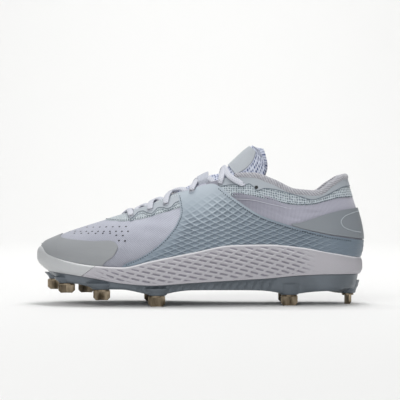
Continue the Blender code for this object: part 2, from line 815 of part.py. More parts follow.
def tongue_patch(name, alongs, acrosses, low, high, arch=0.0):
    """Closed patch that follows the tongue's face between two offsets; arch lifts all but its sides"""
    wide = len(acrosses)
    points = []
    for out in (low, high):
        for along in alongs:
            for number, across in enumerate(acrosses):
                raised = out + (arch if 1 < number < wide - 2 else 0.9 * arch if 0 < number < wide - 1 else 0)
                points.append(tongue_at(along, across) + tongue_normal(along, across) * raised)
    faces = []
    sheet = len(alongs) * wide
    for i in range(len(alongs) - 1):
        for j in range(wide - 1):
            corner = i * wide + j
            face = [corner, corner + 1, corner + wide + 1, corner + wide]
            faces.append(face)
            faces.append([sheet + v for v in reversed(face)])
    border = [j for j in range(wide)]
    border += [i * wide + wide - 1 for i in range(1, len(alongs))]
    border += [(len(alongs) - 1) * wide + j for j in range(wide - 2, -1, -1)]
    border += [i * wide for i in range(len(alongs) - 2, 0, -1)]
    for a, b in zip(border, border[1:] + border[:1]):
        faces.append([b, a, sheet + a, sheet + b])
    return mesh_of(name, points, faces)


def steps(first, last, number):
    return [first + (last - first) * n / number for n in range(number + 1)]


def steps_on(number, first, last):
    """The lines of a grid of that many steps between two shares, and both shares"""
    return [first] + [n / number for n in range(number + 1) if first + 0.01 < n / number < last - 0.01] + [last]


tongue_long = 22
tongue_across = 8
tongue = place(
    tongue_patch("tongue", steps(0, 1, tongue_long), steps(0, 1, tongue_across), -tongue_thick, 0), "tongue",
    (0.62, 0.66, 0.74), 0.9,
)
keeper = place(
    tongue_patch("lace_keeper", steps(0.442, 0.498, 3), steps(0.29, 0.71, 7), gap, gap + keeper_thick, keeper_arch),
    "lace_keeper", (0.66, 0.68, 0.72), 0.8,
)
label = place(
    tongue_patch(
        "tongue_label", steps_on(tongue_long, 0.66, 0.93), steps_on(tongue_across, 0.29, 0.71),
        2 * gap, 2 * gap + label_thick,
    ),
    "tongue_label", (0.36, 0.41, 0.38), 0.7,
)


# Laces over the tongue; their runs through the eyelets are cord, not solids
ridge_x = [row[2].x for row in tongue_points]
ridge_z = [row[2].z for row in tongue_points]


def hole(number, side):
    """Eyelet centre above the upper, with the direction out of it"""
    share, drop, panelled = eyelet_rows[number]
    angle = angle_at(share)
    turn = angle if side < 0 else whole_turn - angle
    level = rise_at(turn, instep_height * (upper["top"](angle) - drop))
    out = lace_thick / 2 + lace_clear + film_thick + panelled * (skin_gap + skin_thick)
    return skin(turn, level, out), normal(turn, level)


def brink(share, side):
    """Point above the throat's edge"""
    angle = angle_at(share)
    turn = angle if side < 0 else whole_turn - angle
    return skin(turn, 1.0, lace_thick / 2 + lace_clear + film_thick), normal(turn, 1.0)


def crest(share, lift=0.0):
    """Point above the middle of the tongue"""
    x = length * (share - 0.5)
    step = 0.004
    z = float(np.interp(x, ridge_x, ridge_z))
    rise = float(np.interp(x + step, ridge_x, ridge_z)) - float(np.interp(x - step, ridge_x, ridge_z))
    out = Vector((-rise, 0, 2 * step)).normalized()
    y = ball_width * upper["ridge"](angle_at(share))
    return Vector((x, y, z)) + out * (lace_thick / 2 + lace_clear + lift), out


def slide(share, side, reach):
    """Point above the tongue's side, reach of the way from its middle to the throat's edge"""
    top, up = crest(share)
    low, out = brink(share, side)
    low = low - out * (wall + gap)
    spot = top * (1 - reach) + low * reach
    return spot + (up + out).normalized() * ball_width * 0.012, (up + out).normalized()


def lace(name, stops):
    """Flat oval lace through a row of points, each with the direction of its upper face"""
    samples = 3 * (len(stops) - 1)
    points = [p for p, _ in stops]
    faces_up = [u for _, u in stops]
    rings = []
    for n in range(samples + 1):
        share = n / samples
        before = bent(points, max(share - 0.01, 0))
        after = bent(points, min(share + 0.01, 1))
        along = (after - before).normalized()
        across = along.cross(bent(faces_up, share)).normalized()
        over = across.cross(along)
        spot = bent(points, share)
        ring = []
        for k in range(lace_sides):
            around = whole_turn * (k + 0.5) / lace_sides
            wide = across * (math.cos(around) * lace_width / 2)
            ring.append(spot + wide + over * (math.sin(around) * lace_thick / 2))
        rings.append(ring)
    return tube(name, rings)


def lace_object(name, first, second=None):
    made = place(lace(name, first), name, (0.66, 0.66, 0.68), 0.85)
    if second:
        join(made, cutter(lace(name + "_second", second), name + "_second"))
    return made


first_share = eyelet_rows[0][0]
bar_bow = 0.022
lace_object("lace_bar", [
    hole(0, -1), brink(first_share - 0.4 * bar_bow, -1), crest(first_share - bar_bow, 0.0016),
    brink(first_share - 0.4 * bar_bow, 1), hole(0, 1),
])
for number in range(1, 5):
    here = eyelet_rows[number][0]
    there = eyelet_rows[number + 1][0]
    ahead = there - here
    runs = []
    for side in (-1, 1):
        lift = 0.0004 * (1 + side) / 2
        run = [hole(number, side), brink(here + 0.08 * ahead, side), crest(here + 0.22 * ahead, lift)]
        if number < 4:
            run += [slide(here + 0.60 * ahead, -side, 0.62)]
        else:
            run += [brink(there - 0.55 * ahead, -side), hole(number + 1, -side)]
        runs.append(run)
    lace_object("lace_cross_" + str(number), runs[0], runs[1])

# The origin under the middle of the whole, on the floor
corners = [made.matrix_world @ Vector(c) for made in shoe.objects for c in made.bound_box]
low = [min(c[k] for c in corners) for k in range(3)]
high = [max(c[k] for c in corners) for k in range(3)]
move = Matrix.Translation((-(low[0] + high[0]) / 2, -(low[1] + high[1]) / 2, -low[2]))
for made in shoe.objects:
    made.data.transform(move)
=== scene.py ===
"""Looks of a baseball cleat for the left foot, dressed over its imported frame."""

import math

import bpy
import numpy as np
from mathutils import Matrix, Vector


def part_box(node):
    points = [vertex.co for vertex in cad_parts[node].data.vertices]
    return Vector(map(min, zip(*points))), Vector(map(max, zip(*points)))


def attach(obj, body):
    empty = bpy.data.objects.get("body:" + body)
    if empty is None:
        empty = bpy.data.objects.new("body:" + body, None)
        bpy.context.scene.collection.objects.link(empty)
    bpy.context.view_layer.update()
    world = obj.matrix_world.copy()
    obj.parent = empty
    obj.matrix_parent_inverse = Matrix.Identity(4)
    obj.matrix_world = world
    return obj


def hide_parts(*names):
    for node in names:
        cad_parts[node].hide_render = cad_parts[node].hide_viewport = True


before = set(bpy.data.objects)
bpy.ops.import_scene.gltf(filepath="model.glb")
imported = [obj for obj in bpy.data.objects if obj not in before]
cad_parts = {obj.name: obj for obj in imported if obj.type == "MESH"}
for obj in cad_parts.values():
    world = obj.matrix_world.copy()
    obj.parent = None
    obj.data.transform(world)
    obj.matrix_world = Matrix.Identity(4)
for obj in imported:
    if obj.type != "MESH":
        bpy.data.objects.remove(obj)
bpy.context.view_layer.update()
MM = 0.001

# Sizes of the last and of the pieces, as the frame has them
LENGTH = 0.298
BALL_WIDTH = 0.1048
SOLE_HEIGHT = 0.0555
INSTEP_HEIGHT = 0.120
WALL = 0.0024
PANEL_TOP = 0.0014  # outside of a laid panel above the upper
TONGUE_THICK = 0.0045
INSOLE_THICK = 0.0042
PLATE_THICK = 0.0031
ROLL_RADIUS = 0.0030
LACE_WIDTH = 0.0054
LACE_THICK = 0.0025
EYELET_RADIUS = 0.0017
SEAT = 0.0003  # between neighbouring pieces
CLOSE = 0.00002  # points of a grid nearer than this are one
FOLD_CLOSE = 0.00003  # the same where rings are folded flat on the middle line
WHOLE = 2 * math.pi
TINY = 1e-6

# Sheets laid on the upper: height of the outside above it, and thickness
TOE_SHEET = (PANEL_TOP - 0.0004, 0.0009)
MESH_SHEET = (0.0004, 0.0006)
FILM_SHEET = (0.0008, 0.0005)
COUNTER_SHEET = (PANEL_TOP + 0.0002, 0.0010)
SADDLE_RIM = 0.0003  # height of the saddle where it runs in under the midsole
SADDLE_THICK = 0.0007
STITCH_OUT = PANEL_TOP + 0.0001
THROAT_STITCH_OUT = 0.0005

# Sole: edge on the outer and inner side as shares of BALL_WIDTH, heights as shares of SOLE_HEIGHT
sole_names = "share outer inner floor parting bed rim low_in rim_in"
sole_rows = [
    (0.000, -0.080, 0.080, 0.540, 0.585, 0.712, 0.990, 0.085, 0.046),
    (0.020, 0.105, 0.240, 0.530, 0.573, 0.703, 0.955, 0.070, 0.040),
    (0.050, 0.225, 0.330, 0.480, 0.544, 0.676, 0.840, 0.045, 0.026),
    (0.100, 0.335, 0.400, 0.396, 0.515, 0.622, 0.730, 0.028, 0.020),
    (0.190, 0.432, 0.462, 0.321, 0.449, 0.546, 0.654, 0.018, 0.012),
    (0.270, 0.482, 0.492, 0.281, 0.377, 0.486, 0.634, 0.017, 0.011),
    (0.360, 0.508, 0.478, 0.236, 0.346, 0.468, 0.738, 0.017, 0.011),
    (0.480, 0.494, 0.404, 0.265, 0.386, 0.523, 0.868, 0.018, 0.011),
    (0.600, 0.438, 0.328, 0.260, 0.420, 0.591, 0.985, 0.018, 0.011),
    (0.700, 0.388, 0.310, 0.250, 0.447, 0.634, 0.993, 0.018, 0.011),
    (0.800, 0.362, 0.328, 0.232, 0.494, 0.659, 0.948, 0.018, 0.011),
    (0.900, 0.338, 0.325, 0.238, 0.512, 0.674, 0.858, 0.018, 0.012),
    (0.970, 0.232, 0.228, 0.300, 0.508, 0.681, 0.786, 0.020, 0.014),
    (1.000, 0.000, 0.000, 0.340, 0.478, 0.685, 0.762, 0.028, 0.017),
]

# Upper: top line as shares of INSTEP_HEIGHT, widths as shares of BALL_WIDTH, and the bend of each section
upper_names = "share top ridge mouth forward shelf tuck high_in high_up low_up"
upper_rows = [
    (0.000, 0.454, 0.080, 0.000, 0.057, 0.031, 0.040, 0.50, 0.62, 0.25),
    (0.020, 0.479, 0.080, 0.000, 0.034, 0.031, 0.044, 0.55, 0.84, 0.24),
    (0.050, 0.505, 0.078, 0.000, 0.017, 0.030, 0.048, 0.60, 0.95, 0.24),
    (0.100, 0.552, 0.072, 0.000, 0.006, 0.029, 0.050, 0.64, 1.00, 0.25),
    (0.170, 0.607, 0.062, 0.000, 0.000, 0.027, 0.050, 0.64, 1.00, 0.26),
    (0.252, 0.671, 0.052, 0.000, 0.000, 0.025, 0.050, 0.60, 0.98, 0.26),
    (0.272, 0.686, 0.050, 0.060, 0.000, 0.025, 0.050, 0.58, 0.94, 0.26),
    (0.300, 0.706, 0.047, 0.085, 0.000, 0.024, 0.050, 0.56, 0.90, 0.26),
    (0.360, 0.764, 0.043, 0.104, 0.000, 0.024, 0.050, 0.54, 0.84, 0.26),
    (0.450, 0.857, 0.036, 0.124, 0.000, 0.024, 0.050, 0.50, 0.82, 0.27),
    (0.530, 0.923, 0.026, 0.146, 0.000, 0.024, 0.050, 0.45, 0.80, 0.27),
    (0.600, 0.958, 0.016, 0.188, 0.000, 0.024, 0.048, 0.38, 0.76, 0.27),
    (0.660, 0.955, 0.008, 0.246, 0.000, 0.023, 0.046, 0.32, 0.70, 0.27),
    (0.720, 0.909, 0.003, 0.284, -0.008, 0.021, 0.044, 0.30, 0.68, 0.27),
    (0.800, 0.832, 0.000, 0.298, -0.034, 0.017, 0.042, 0.30, 0.66, 0.27),
    (0.880, 0.820, 0.000, 0.278, -0.072, 0.011, 0.042, 0.30, 0.66, 0.27),
    (0.940, 0.893, 0.000, 0.214, -0.105, 0.006, 0.044, 0.30, 0.66, 0.27),
    (0.980, 0.940, 0.000, 0.122, -0.126, 0.002, 0.048, 0.31, 0.66, 0.27),
    (1.000, 0.950, 0.000, 0.000, -0.133, 0.000, 0.052, 0.32, 0.66, 0.27),
]

# Lace holes: share of the length, drop below the top line (of INSTEP_HEIGHT), 1 through the saddle
eyelet_rows = [
    (0.296, 0.038, 0), (0.353, 0.044, 0), (0.401, 0.050, 0), (0.480, 0.034, 1),
    (0.565, 0.034, 0), (0.629, 0.055, 0), (0.672, 0.070, 0),
]

# Tongue under the throat: share of the length, crown over its sides, how far down the wall it tucks
tongue_rows = [
    (0.235, -0.004, 0.86), (0.268, 0.008, 0.86), (0.300, 0.024, 0.86), (0.360, 0.036, 0.88),
    (0.420, 0.048, 0.90), (0.480, 0.064, 0.90), (0.530, 0.084, 0.90),
]
# Tongue above the throat: middle and side as shares of LENGTH and INSTEP_HEIGHT, half width of BALL_WIDTH
tongue_tip_rows = [
    (0.568, 0.998, 0.590, 0.900, 0.178), (0.592, 1.056, 0.640, 0.895, 0.185),
    (0.614, 1.108, 0.680, 0.930, 0.185), (0.636, 1.158, 0.700, 1.010, 0.180),
    (0.654, 1.192, 0.696, 1.100, 0.165), (0.664, 1.206, 0.682, 1.165, 0.135),
]

# Studs: node, share of the length, offset (of BALL_WIDTH), tip (of SOLE_HEIGHT), degrees turned, boss size
stud_rows = [
    ("toe_stud_inner", 0.056, 0.168, 0.222, -12, 0.8), ("toe_stud_outer", 0.098, -0.190, 0.200, 14, 0.8),
    ("front_stud_inner", 0.146, 0.330, 0.150, 0, 0.9), ("front_stud_outer", 0.208, -0.350, 0.098, 8, 1.0),
    ("ball_stud_inner", 0.352, 0.335, 0.000, 4, 1.0), ("ball_stud_outer", 0.374, -0.385, 0.000, -4, 1.0),
    ("heel_stud_inner", 0.771, 0.215, 0.000, 0, 1.0), ("heel_stud_outer", 0.771, -0.245, 0.000, 0, 1.0),
    ("heel_stud_back", 0.955, 0.000, 0.000, 90, 1.0),
]

# The tables put the middle of the length at zero; the frame's origin is the middle of its box
back_low, back_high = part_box("heel_stud_back")
back_share = stud_rows[-1][1]
SHIFT = np.array([
    (back_low.x + back_high.x) / 2 - LENGTH * (back_share - 0.5), (back_low.y + back_high.y) / 2, 0.0,
])


# Reading the tables
def curve(at, values, flat_ends=False):
    """Smooth function through the values that doesn't overshoot them, straight beyond both ends"""
    at = np.asarray(at, float)
    values = np.asarray(values, float)
    step = np.diff(at)
    rate = np.diff(values) / step
    slope = np.zeros(len(values))
    slope[0] = 0 if flat_ends else rate[0]
    slope[-1] = 0 if flat_ends else rate[-1]
    for i in range(1, len(values) - 1):
        if rate[i - 1] * rate[i] > 0:
            before = 2 * step[i] + step[i - 1]
            after = step[i] + 2 * step[i - 1]
            slope[i] = (before + after) / (before / rate[i - 1] + after / rate[i])

    def value(x):
        x = np.asarray(x, float)
        i = np.clip(np.searchsorted(at, x) - 1, 0, len(at) - 2)
        wide = at[i + 1] - at[i]
        t = (x - at[i]) / wide
        start = (1 + 2 * t) * (1 - t) ** 2 * values[i] + t * t * (3 - 2 * t) * values[i + 1]
        inside = start + wide * t * (1 - t) * ((1 - t) * slope[i] - t * slope[i + 1])
        low = values[0] + slope[0] * (x - at[0])
        high = values[-1] + slope[-1] * (x - at[-1])
        return np.where(x <= at[0], low, np.where(x >= at[-1], high, inside))

    return value


def angle_at(share):
    """Station angle of a share of the length: 0 at the toe, half a turn at the heel"""
    return np.arccos(1 - 2 * np.clip(share, 0.0, 1.0))


def share_at(angle):
    """Share of the length at a station angle"""
    return (1 - np.cos(angle)) / 2


def columns(names, rows, flat_ends):
    """A smooth function of the station angle for each column of a table"""
    data = np.array(rows, float)
    at = angle_at(data[:, 0])
    return {name: curve(at, data[:, k], flat_ends) for k, name in enumerate(names.split()) if k}


sole = columns(sole_names, sole_rows, False)
upper = columns(upper_names, upper_rows, True)


def line(name):
    """Height of a line of the sole at a station angle"""
    return lambda angle: SOLE_HEIGHT * sole[name](angle)


def angle_side(turn):
    """Station angle of a turn round the shoe, and its side: -1 outer, 1 inner"""
    turn = np.mod(turn, WHOLE)
    return np.where(turn <= math.pi, turn, WHOLE - turn), np.where(turn <= math.pi, -1.0, 1.0)


def edge_point(angle, side):
    """Point of the sole's edge on one side"""
    reach = np.where(side < 0, sole["outer"](angle), sole["inner"](angle))
    return np.stack([LENGTH * (share_at(angle) - 0.5), side * BALL_WIDTH * reach], -1)


def unit(v):
    return v / np.maximum(np.linalg.norm(v, axis=-1, keepdims=True), 1e-12)


def edge(angle, side):
    """Points of the sole's edge and the level directions out of it"""
    step = 0.004
    along = edge_point(angle + step, side) - edge_point(angle - step, side)
    out = np.stack([along[..., 1], -along[..., 0]], -1) * -side[..., None]
    return edge_point(angle, side), unit(out)


def lengths(path):
    """Distance of each point of a path from its start, along it"""
    return np.concatenate([[0], np.cumsum(np.linalg.norm(np.diff(path, axis=0), axis=-1))])


def inset(turn, amount, height):
    """Points of the sole set in from its edge, at the height that a line of the sole has there"""
    angle, side = angle_side(turn)
    point, out = edge(angle, side)
    flat = point - out * np.asarray(amount)[..., None]
    return np.concatenate([flat, height(angle_at(flat[..., 0] / LENGTH + 0.5))[..., None]], -1)


def section(turn):
    """Four points that steer one side of a section, from the sole up to the top line"""
    angle, side = angle_side(turn)
    point, out = edge(angle, side)
    fullest = point - out * (BALL_WIDTH * upper["shelf"](angle))[..., None]
    top = np.stack([
        LENGTH * (share_at(angle) - 0.5) + BALL_WIDTH * upper["forward"](angle),
        BALL_WIDTH * (upper["ridge"](angle) + side * upper["mouth"](angle)),
    ], -1)
    tuck = BALL_WIDTH * upper["tuck"](angle)
    high_in = upper["high_in"](angle)
    across = np.linalg.norm(fullest - top, axis=-1)
    flare = (0.343 * tuck + (0.189 * (1 - high_in) + 0.027) * across) / (0.441 + 0.189 * high_in)
    low = fullest + out * flare[..., None]
    high = top + (low - top) * high_in[..., None]
    start = SOLE_HEIGHT * sole["bed"](angle) + SEAT
    rise = INSTEP_HEIGHT * upper["top"](angle) - start
    flat = (fullest - out * tuck[..., None], low, high, top)
    up = (0 * rise, upper["low_up"](angle), upper["high_up"](angle), 0 * rise + 1)
    return [np.concatenate([p, (start + rise * u)[..., None]], -1) for p, u in zip(flat, up)]


def lasted(turn, rise):
    """Points of the upper's outside: rise goes from 0 at the sole to 1 at the top line"""
    turn, rise = np.broadcast_arrays(np.asarray(turn, float), np.asarray(rise, float))
    a, b, c, d = section(turn)
    t = rise[..., None]
    return a * (1 - t) ** 3 + b * (3 * t * (1 - t) ** 2) + c * (3 * t * t * (1 - t)) + d * t ** 3


def outward(turn, rise):
    """Direction across the surface of the upper"""
    step = 0.004
    along = lasted(turn + step, rise) - lasted(turn - step, rise)
    back = np.clip(rise - 8 * step, 0, 1)
    along_back = lasted(turn + step, back) - lasted(turn - step, back)
    short = np.linalg.norm(along, axis=-1, keepdims=True) < 20 * TINY
    along = np.where(short, along_back, along)
    up = lasted(turn, np.clip(rise + step, 0, 1)) - lasted(turn, np.clip(rise - step, 0, 1))
    return unit(np.cross(along, up))


def normal(turn, rise):
    """Direction out of the upper; both sides share it along the closed ridge"""
    turn, rise = np.broadcast_arrays(np.asarray(turn, float), np.asarray(rise, float))
    found = outward(turn, rise)
    angle = angle_side(turn)[0]
    ridge = (rise > 1 - TINY) & (upper["mouth"](angle) < TINY) & (angle < math.pi / 2)
    shared = unit(found + outward(WHOLE - turn, rise))
    return np.where(ridge[..., None], shared, found)


def skin(turn, rise, out=0.0):
    """Points at a height above the outside of the upper"""
    return lasted(turn, rise) + normal(turn, rise) * np.asarray(out)[..., None]


def rise_at(turn, height):
    """Share of the way up the upper's section at a height"""
    turn, height = np.broadcast_arrays(np.asarray(turn, float), np.asarray(height, float))
    a, b, c, d = (p[..., 2] for p in section(turn))
    low = np.zeros(turn.shape)
    high = np.ones(turn.shape)
    for _ in range(18):
        t = (low + high) / 2
        level = a * (1 - t) ** 3 + b * (3 * t * (1 - t) ** 2) + c * (3 * t * t * (1 - t)) + d * t ** 3
        below = level < height
        low = np.where(below, t, low)
        high = np.where(below, high, t)
    return (low + high) / 2


def spot(x, z, side):
    """Turn and rise of the point of the upper that shows at x and z (shares) when seen from the side"""
    x = np.asarray(x, float)
    z = np.asarray(z, float)
    share = x
    for _ in range(6):
        angle = angle_at(share)
        turn = np.where(side < 0, angle, WHOLE - angle)
        rise = rise_at(turn, INSTEP_HEIGHT * z)
        share = np.clip(share + 0.9 * (x - lasted(turn, rise)[..., 0] / LENGTH - 0.5), 0.0, 1.0)
    return turn, rise


# Making pieces from grids
def clear():
    """Leaves edit mode with nothing selected"""
    if bpy.context.object and bpy.context.object.mode != "OBJECT":
        bpy.ops.object.mode_set(mode="OBJECT")
    bpy.ops.object.select_all(action="DESELECT")


clear()


def pick(made):
    """Selects one object and makes it active"""
    clear()
    made.select_set(True)
    bpy.context.view_layer.objects.active = made


def new_object(name, data):
    """A new object, put into the scene"""
    made = bpy.data.objects.new(name, data)
    bpy.context.scene.collection.objects.link(made)
    return made


def laid(name, points, pattern=None):
    """A flat grid whose vertices are laid on points[row][column], with pattern[row][column] as its UV map"""
    points = np.asarray(points, float)
    rows, wide = points.shape[:2]
    clear()
    bpy.ops.mesh.primitive_grid_add(x_subdivisions=wide - 1, y_subdivisions=rows - 1, size=1, calc_uvs=True)
    made = bpy.context.object
    made.name = name
    made.data.name = name
    flat = np.zeros(len(made.data.vertices) * 3)
    made.data.vertices.foreach_get("co", flat)
    flat = flat.reshape(-1, 3)
    column = np.rint((flat[:, 0] + 0.5) * (wide - 1)).astype(int)
    row = np.rint((flat[:, 1] + 0.5) * (rows - 1)).astype(int)
    made.data.vertices.foreach_set("co", (points[row, column] + SHIFT).ravel())
    if pattern is not None:
        corner = np.zeros(len(made.data.loops), int)
        made.data.loops.foreach_get("vertex_index", corner)
        chart = np.asarray(pattern, float)[row, column][corner]
        made.data.uv_layers.active.data.foreach_set("uv", chart.ravel())
    made.data.update()
    return made


def paint(made, name, values):
    """Keeps a value for each vertex of a laid grid; vertices are in rows"""
    layer = made.data.attributes.new(name, "FLOAT", "POINT")
    layer.data.foreach_set("value", np.asarray(values, np.float32).ravel())


def edit(made, *steps):
    """Runs edit-mode operators on the whole of a piece"""
    pick(made)
    bpy.ops.object.mode_set(mode="EDIT")
    bpy.ops.mesh.select_all(action="SELECT")
    for step in steps:
        step()
    bpy.ops.object.mode_set(mode="OBJECT")
    return made


def weld(made, reach=0.00001):
    """Makes one point of points that lie together"""
    return edit(made, lambda: bpy.ops.mesh.remove_doubles(threshold=reach))


def closed(made):
    """Welds a grid that closes on itself and turns its faces outwards"""
    return edit(
        made,
        lambda: bpy.ops.mesh.remove_doubles(threshold=CLOSE),
        lambda: bpy.ops.mesh.normals_make_consistent(inside=False),
    )


def modify(made, kind, **settings):
    """Adds a modifier and applies it"""
    pick(made)
    step = made.modifiers.new(kind.lower(), kind)
    for name, value in settings.items():
        setattr(step, name, value)
    bpy.ops.object.modifier_apply(modifier=step.name)
    return made


def smooth(made, degrees=35):
    """Smooth shading, except over edges sharper than an angle"""
    pick(made)
    bpy.ops.object.shade_smooth_by_angle(angle=math.radians(degrees))
    return made


def joined(name, pieces):
    """Several objects as one piece"""
    clear()
    for piece in pieces:
        piece.select_set(True)
    bpy.context.view_layer.objects.active = pieces[0]
    bpy.ops.object.join()
    made = bpy.context.object
    made.name = name
    made.data.name = name
    return made


def finish(made, material, *nodes, slot=None):
    """Gives a piece its material and seats it in the frame"""
    if material is not None:
        made.data.materials.clear()
        for one in material if isinstance(material, (list, tuple)) else [material]:
            made.data.materials.append(one)
    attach(made, "root")
    if nodes:
        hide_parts(*nodes)
    return made


# Making materials
BAND = 0.32  # scale of a wave texture that gives one band to the unit
BLEND = {"data_type": "RGBA"}
SHADE = {"data_type": "RGBA", "blend_type": "MULTIPLY"}


def srgb(code):
    """Linear colour of an sRGB hex value"""
    values = [int(code[i:i + 2], 16) / 255 for i in (1, 3, 5)]
    return tuple(v / 12.92 if v <= 0.04045 else ((v + 0.055) / 1.055) ** 2.4 for v in values) + (1.0,)


def node(tree, kind, sockets=(), stops=(), **settings):
    """Adds a node and gives its outputs; sockets holds values or linked outputs, stops a ramp's colours"""
    made = tree.nodes.new("ShaderNode" + kind)
    for name, value in settings.items():
        setattr(made, name, value)
    for key, value in dict(sockets).items():
        socket = made.inputs[key]
        if isinstance(value, bpy.types.NodeSocket):
            tree.links.new(value, socket)
        else:
            socket.default_value = value
    if stops:
        points = made.color_ramp.elements
        while len(points) < len(stops):
            points.new(0.5)
        for point, (place, colour) in zip(points, stops):
            point.position = place
            point.color = srgb(colour)
    return made.outputs


def material(name, colour, roughness, **shader_values):
    """A new material and its tree and shader"""
    made = bpy.data.materials.new(name)
    made.use_nodes = True
    tree = made.node_tree
    shader = tree.nodes["Principled BSDF"]
    shader.inputs["Base Color"].default_value = srgb(colour)
    shader.inputs["Roughness"].default_value = roughness
    for key, value in shader_values.items():
        shader.inputs[key.replace("_", " ")].default_value = value
    return made, tree, shader


def surface(tree, shader, colour, height, depth, strength):
    """Links what a material's pattern gives to its shader: a colour, if any, and a relief"""
    if colour is not None:
        tree.links.new(colour, shader.inputs["Base Color"])
    bump = node(tree, "Bump", {"Height": height, "Distance": depth, "Strength": strength})["Normal"]
    tree.links.new(bump, shader.inputs["Normal"])


def knit_polyester():
    """Polyester jersey, warp knitted in fine diagonal rows: a soft matt lilac grey"""
    made, tree, shader = material("knit_polyester", "#B9BBC8", 0.85, Sheen_Weight=0.25, Sheen_Roughness=0.5)
    at = node(tree, "TexCoord")
    rows = node(tree, "TexWave", {
        "Vector": at["UV"], "Scale": BAND / (1.1 * MM), "Distortion": 1.2, "Detail": 1.0, "Detail Scale": 0.6,
    }, bands_direction="DIAGONAL")["Fac"]
    cross = node(tree, "TexWave", {
        "Vector": at["UV"], "Scale": BAND / (0.823 * MM), "Distortion": 0.6,
    }, bands_direction="Y")["Fac"]
    weave = node(tree, "Math", {0: rows, 1: cross}, operation="MULTIPLY")[0]
    # Darker towards the sole: partly the knit's own tone, partly painted shade of the light from above
    height = node(tree, "SeparateXYZ", {0: at["Object"]})["Z"]
    low = node(tree, "MapRange", {"Value": height, "From Min": 0.036, "From Max": 0.074})["Result"]
    base = node(tree, "ValToRGB", {"Fac": low}, [(0.0, "#A6A8B2"), (1.0, "#C9CCD8")])["Color"]
    dark = node(tree, "ValToRGB", {"Fac": weave}, [(0.0, "#B4B4BA"), (0.7, "#FFFFFF")])["Color"]
    shade = node(tree, "Mix", {0: 0.5, 6: base, 7: dark}, **SHADE)[2]
    cloud = node(tree, "TexNoise", {"Vector": at["Object"], "Scale": 28.0, "Detail": 2.0})["Fac"]
    tint = node(tree, "ValToRGB", {"Fac": cloud}, [(0.3, "#EDEDF0"), (0.7, "#FFFFFF")])["Color"]
    shade = node(tree, "Mix", {0: 1.0, 6: shade, 7: tint}, **SHADE)[2]
    surface(tree, shader, shade, weave, 0.35 * MM, 0.7)
    return made


def open_mesh(name, strand, hole, pitch, depth, crest_highlight):
    """Knitted polyester mesh with staggered open holes that show the dark layer under it; the crests of its
    strands get a painted highlight
    """
    made, tree, shader = material(name, strand, 0.8, Sheen_Weight=0.2)
    cell = node(tree, "TexVoronoi", {
        "Vector": node(tree, "TexCoord")["UV"], "Scale": 1 / pitch, "Randomness": 0.25,
    })["Distance"]
    # The last stop is a painted highlight on the crests of the strands
    shade = node(tree, "ValToRGB", {"Fac": cell}, [(0.20, hole), (0.34, strand), (0.6, crest_highlight)])["Color"]
    rise = node(tree, "MapRange", {"Value": cell, "From Min": 0.12, "From Max": 0.40})["Result"]
    surface(tree, shader, shade, rise, depth, 0.9)
    return made


def moulded_skin():
    """Polyurethane skin, heat pressed over the textile: satin blue grey, darker towards the heel, and darker
    towards the sole partly by its own tone and partly by painted shade; painted shade and highlight mark its
    pits
    """
    made, tree, shader = material(
        "moulded_polyurethane_skin", "#93A1AA", 0.46, Coat_Weight=0.12, Coat_Roughness=0.35,
    )
    at = node(tree, "TexCoord")
    place = node(tree, "SeparateXYZ", {0: at["Object"]})
    # Darker towards the sole: partly the skin's own tone, partly painted shade of the light from above
    low = node(tree, "MapRange", {"Value": place["Z"], "From Min": 0.046, "From Max": 0.108})["Result"]
    shade = node(tree, "ValToRGB", {"Fac": low}, [
        (0.0, "#7C8A97"), (0.40, "#8794A0"), (0.75, "#99A5AF"), (1.0, "#A6B0B9"),
    ])["Color"]
    back = node(tree, "MapRange", {"Value": place["X"], "From Min": 0.02, "From Max": 0.12})["Result"]
    rear = node(tree, "Mix", {0: 1.0, 6: shade, 7: srgb("#D6DADD")}, **SHADE)[2]
    shade = node(tree, "Mix", {0: back, 6: shade, 7: rear}, **BLEND)[2]
    # pit: painted shade in the lattice's pits and on their upper walls; lip: painted highlight on their lower
    # lips
    for name, weight, colour in (("pit", 0.62, "#56636F"), ("lip", 0.40, "#BDC7CF")):
        mask = node(tree, "Attribute", attribute_name=name)["Fac"]
        mask = node(tree, "Math", {0: mask, 1: weight}, operation="MULTIPLY")[0]
        shade = node(tree, "Mix", {0: mask, 6: shade, 7: srgb(colour)}, **BLEND)[2]
    grain = node(tree, "TexNoise", {"Vector": at["Object"], "Scale": 1 / (1.1 * MM), "Detail": 2.0})["Fac"]
    surface(tree, shader, shade, grain, 0.05 * MM, 0.5)
    return made


def fused_film(name, colour, roughness, dotted=False):
    """Thermoplastic polyurethane film, fused on with heat: smooth and slightly satin"""
    made, tree, shader = material(name, colour, roughness, Coat_Weight=0.08, Coat_Roughness=0.4)
    at = node(tree, "TexCoord")
    height = node(tree, "TexNoise", {"Vector": at["Object"], "Scale": 1 / (1.4 * MM), "Detail": 3.0})["Fac"]
    if dotted:
        dots = node(tree, "TexVoronoi", {
            "Vector": at["UV"], "Scale": 1 / (2.6 * MM), "Randomness": 0.15,
        })["Distance"]
        dimple = node(tree, "MapRange", {"Value": dots, "From Min": 0.05, "From Max": 0.26})["Result"]
        fine = node(tree, "Math", {0: height, 1: 0.3}, operation="MULTIPLY")[0]
        height = node(tree, "Math", {0: fine, 1: dimple}, operation="ADD")[0]
    surface(tree, shader, None, height, 0.10 * MM, 0.5)
    return made


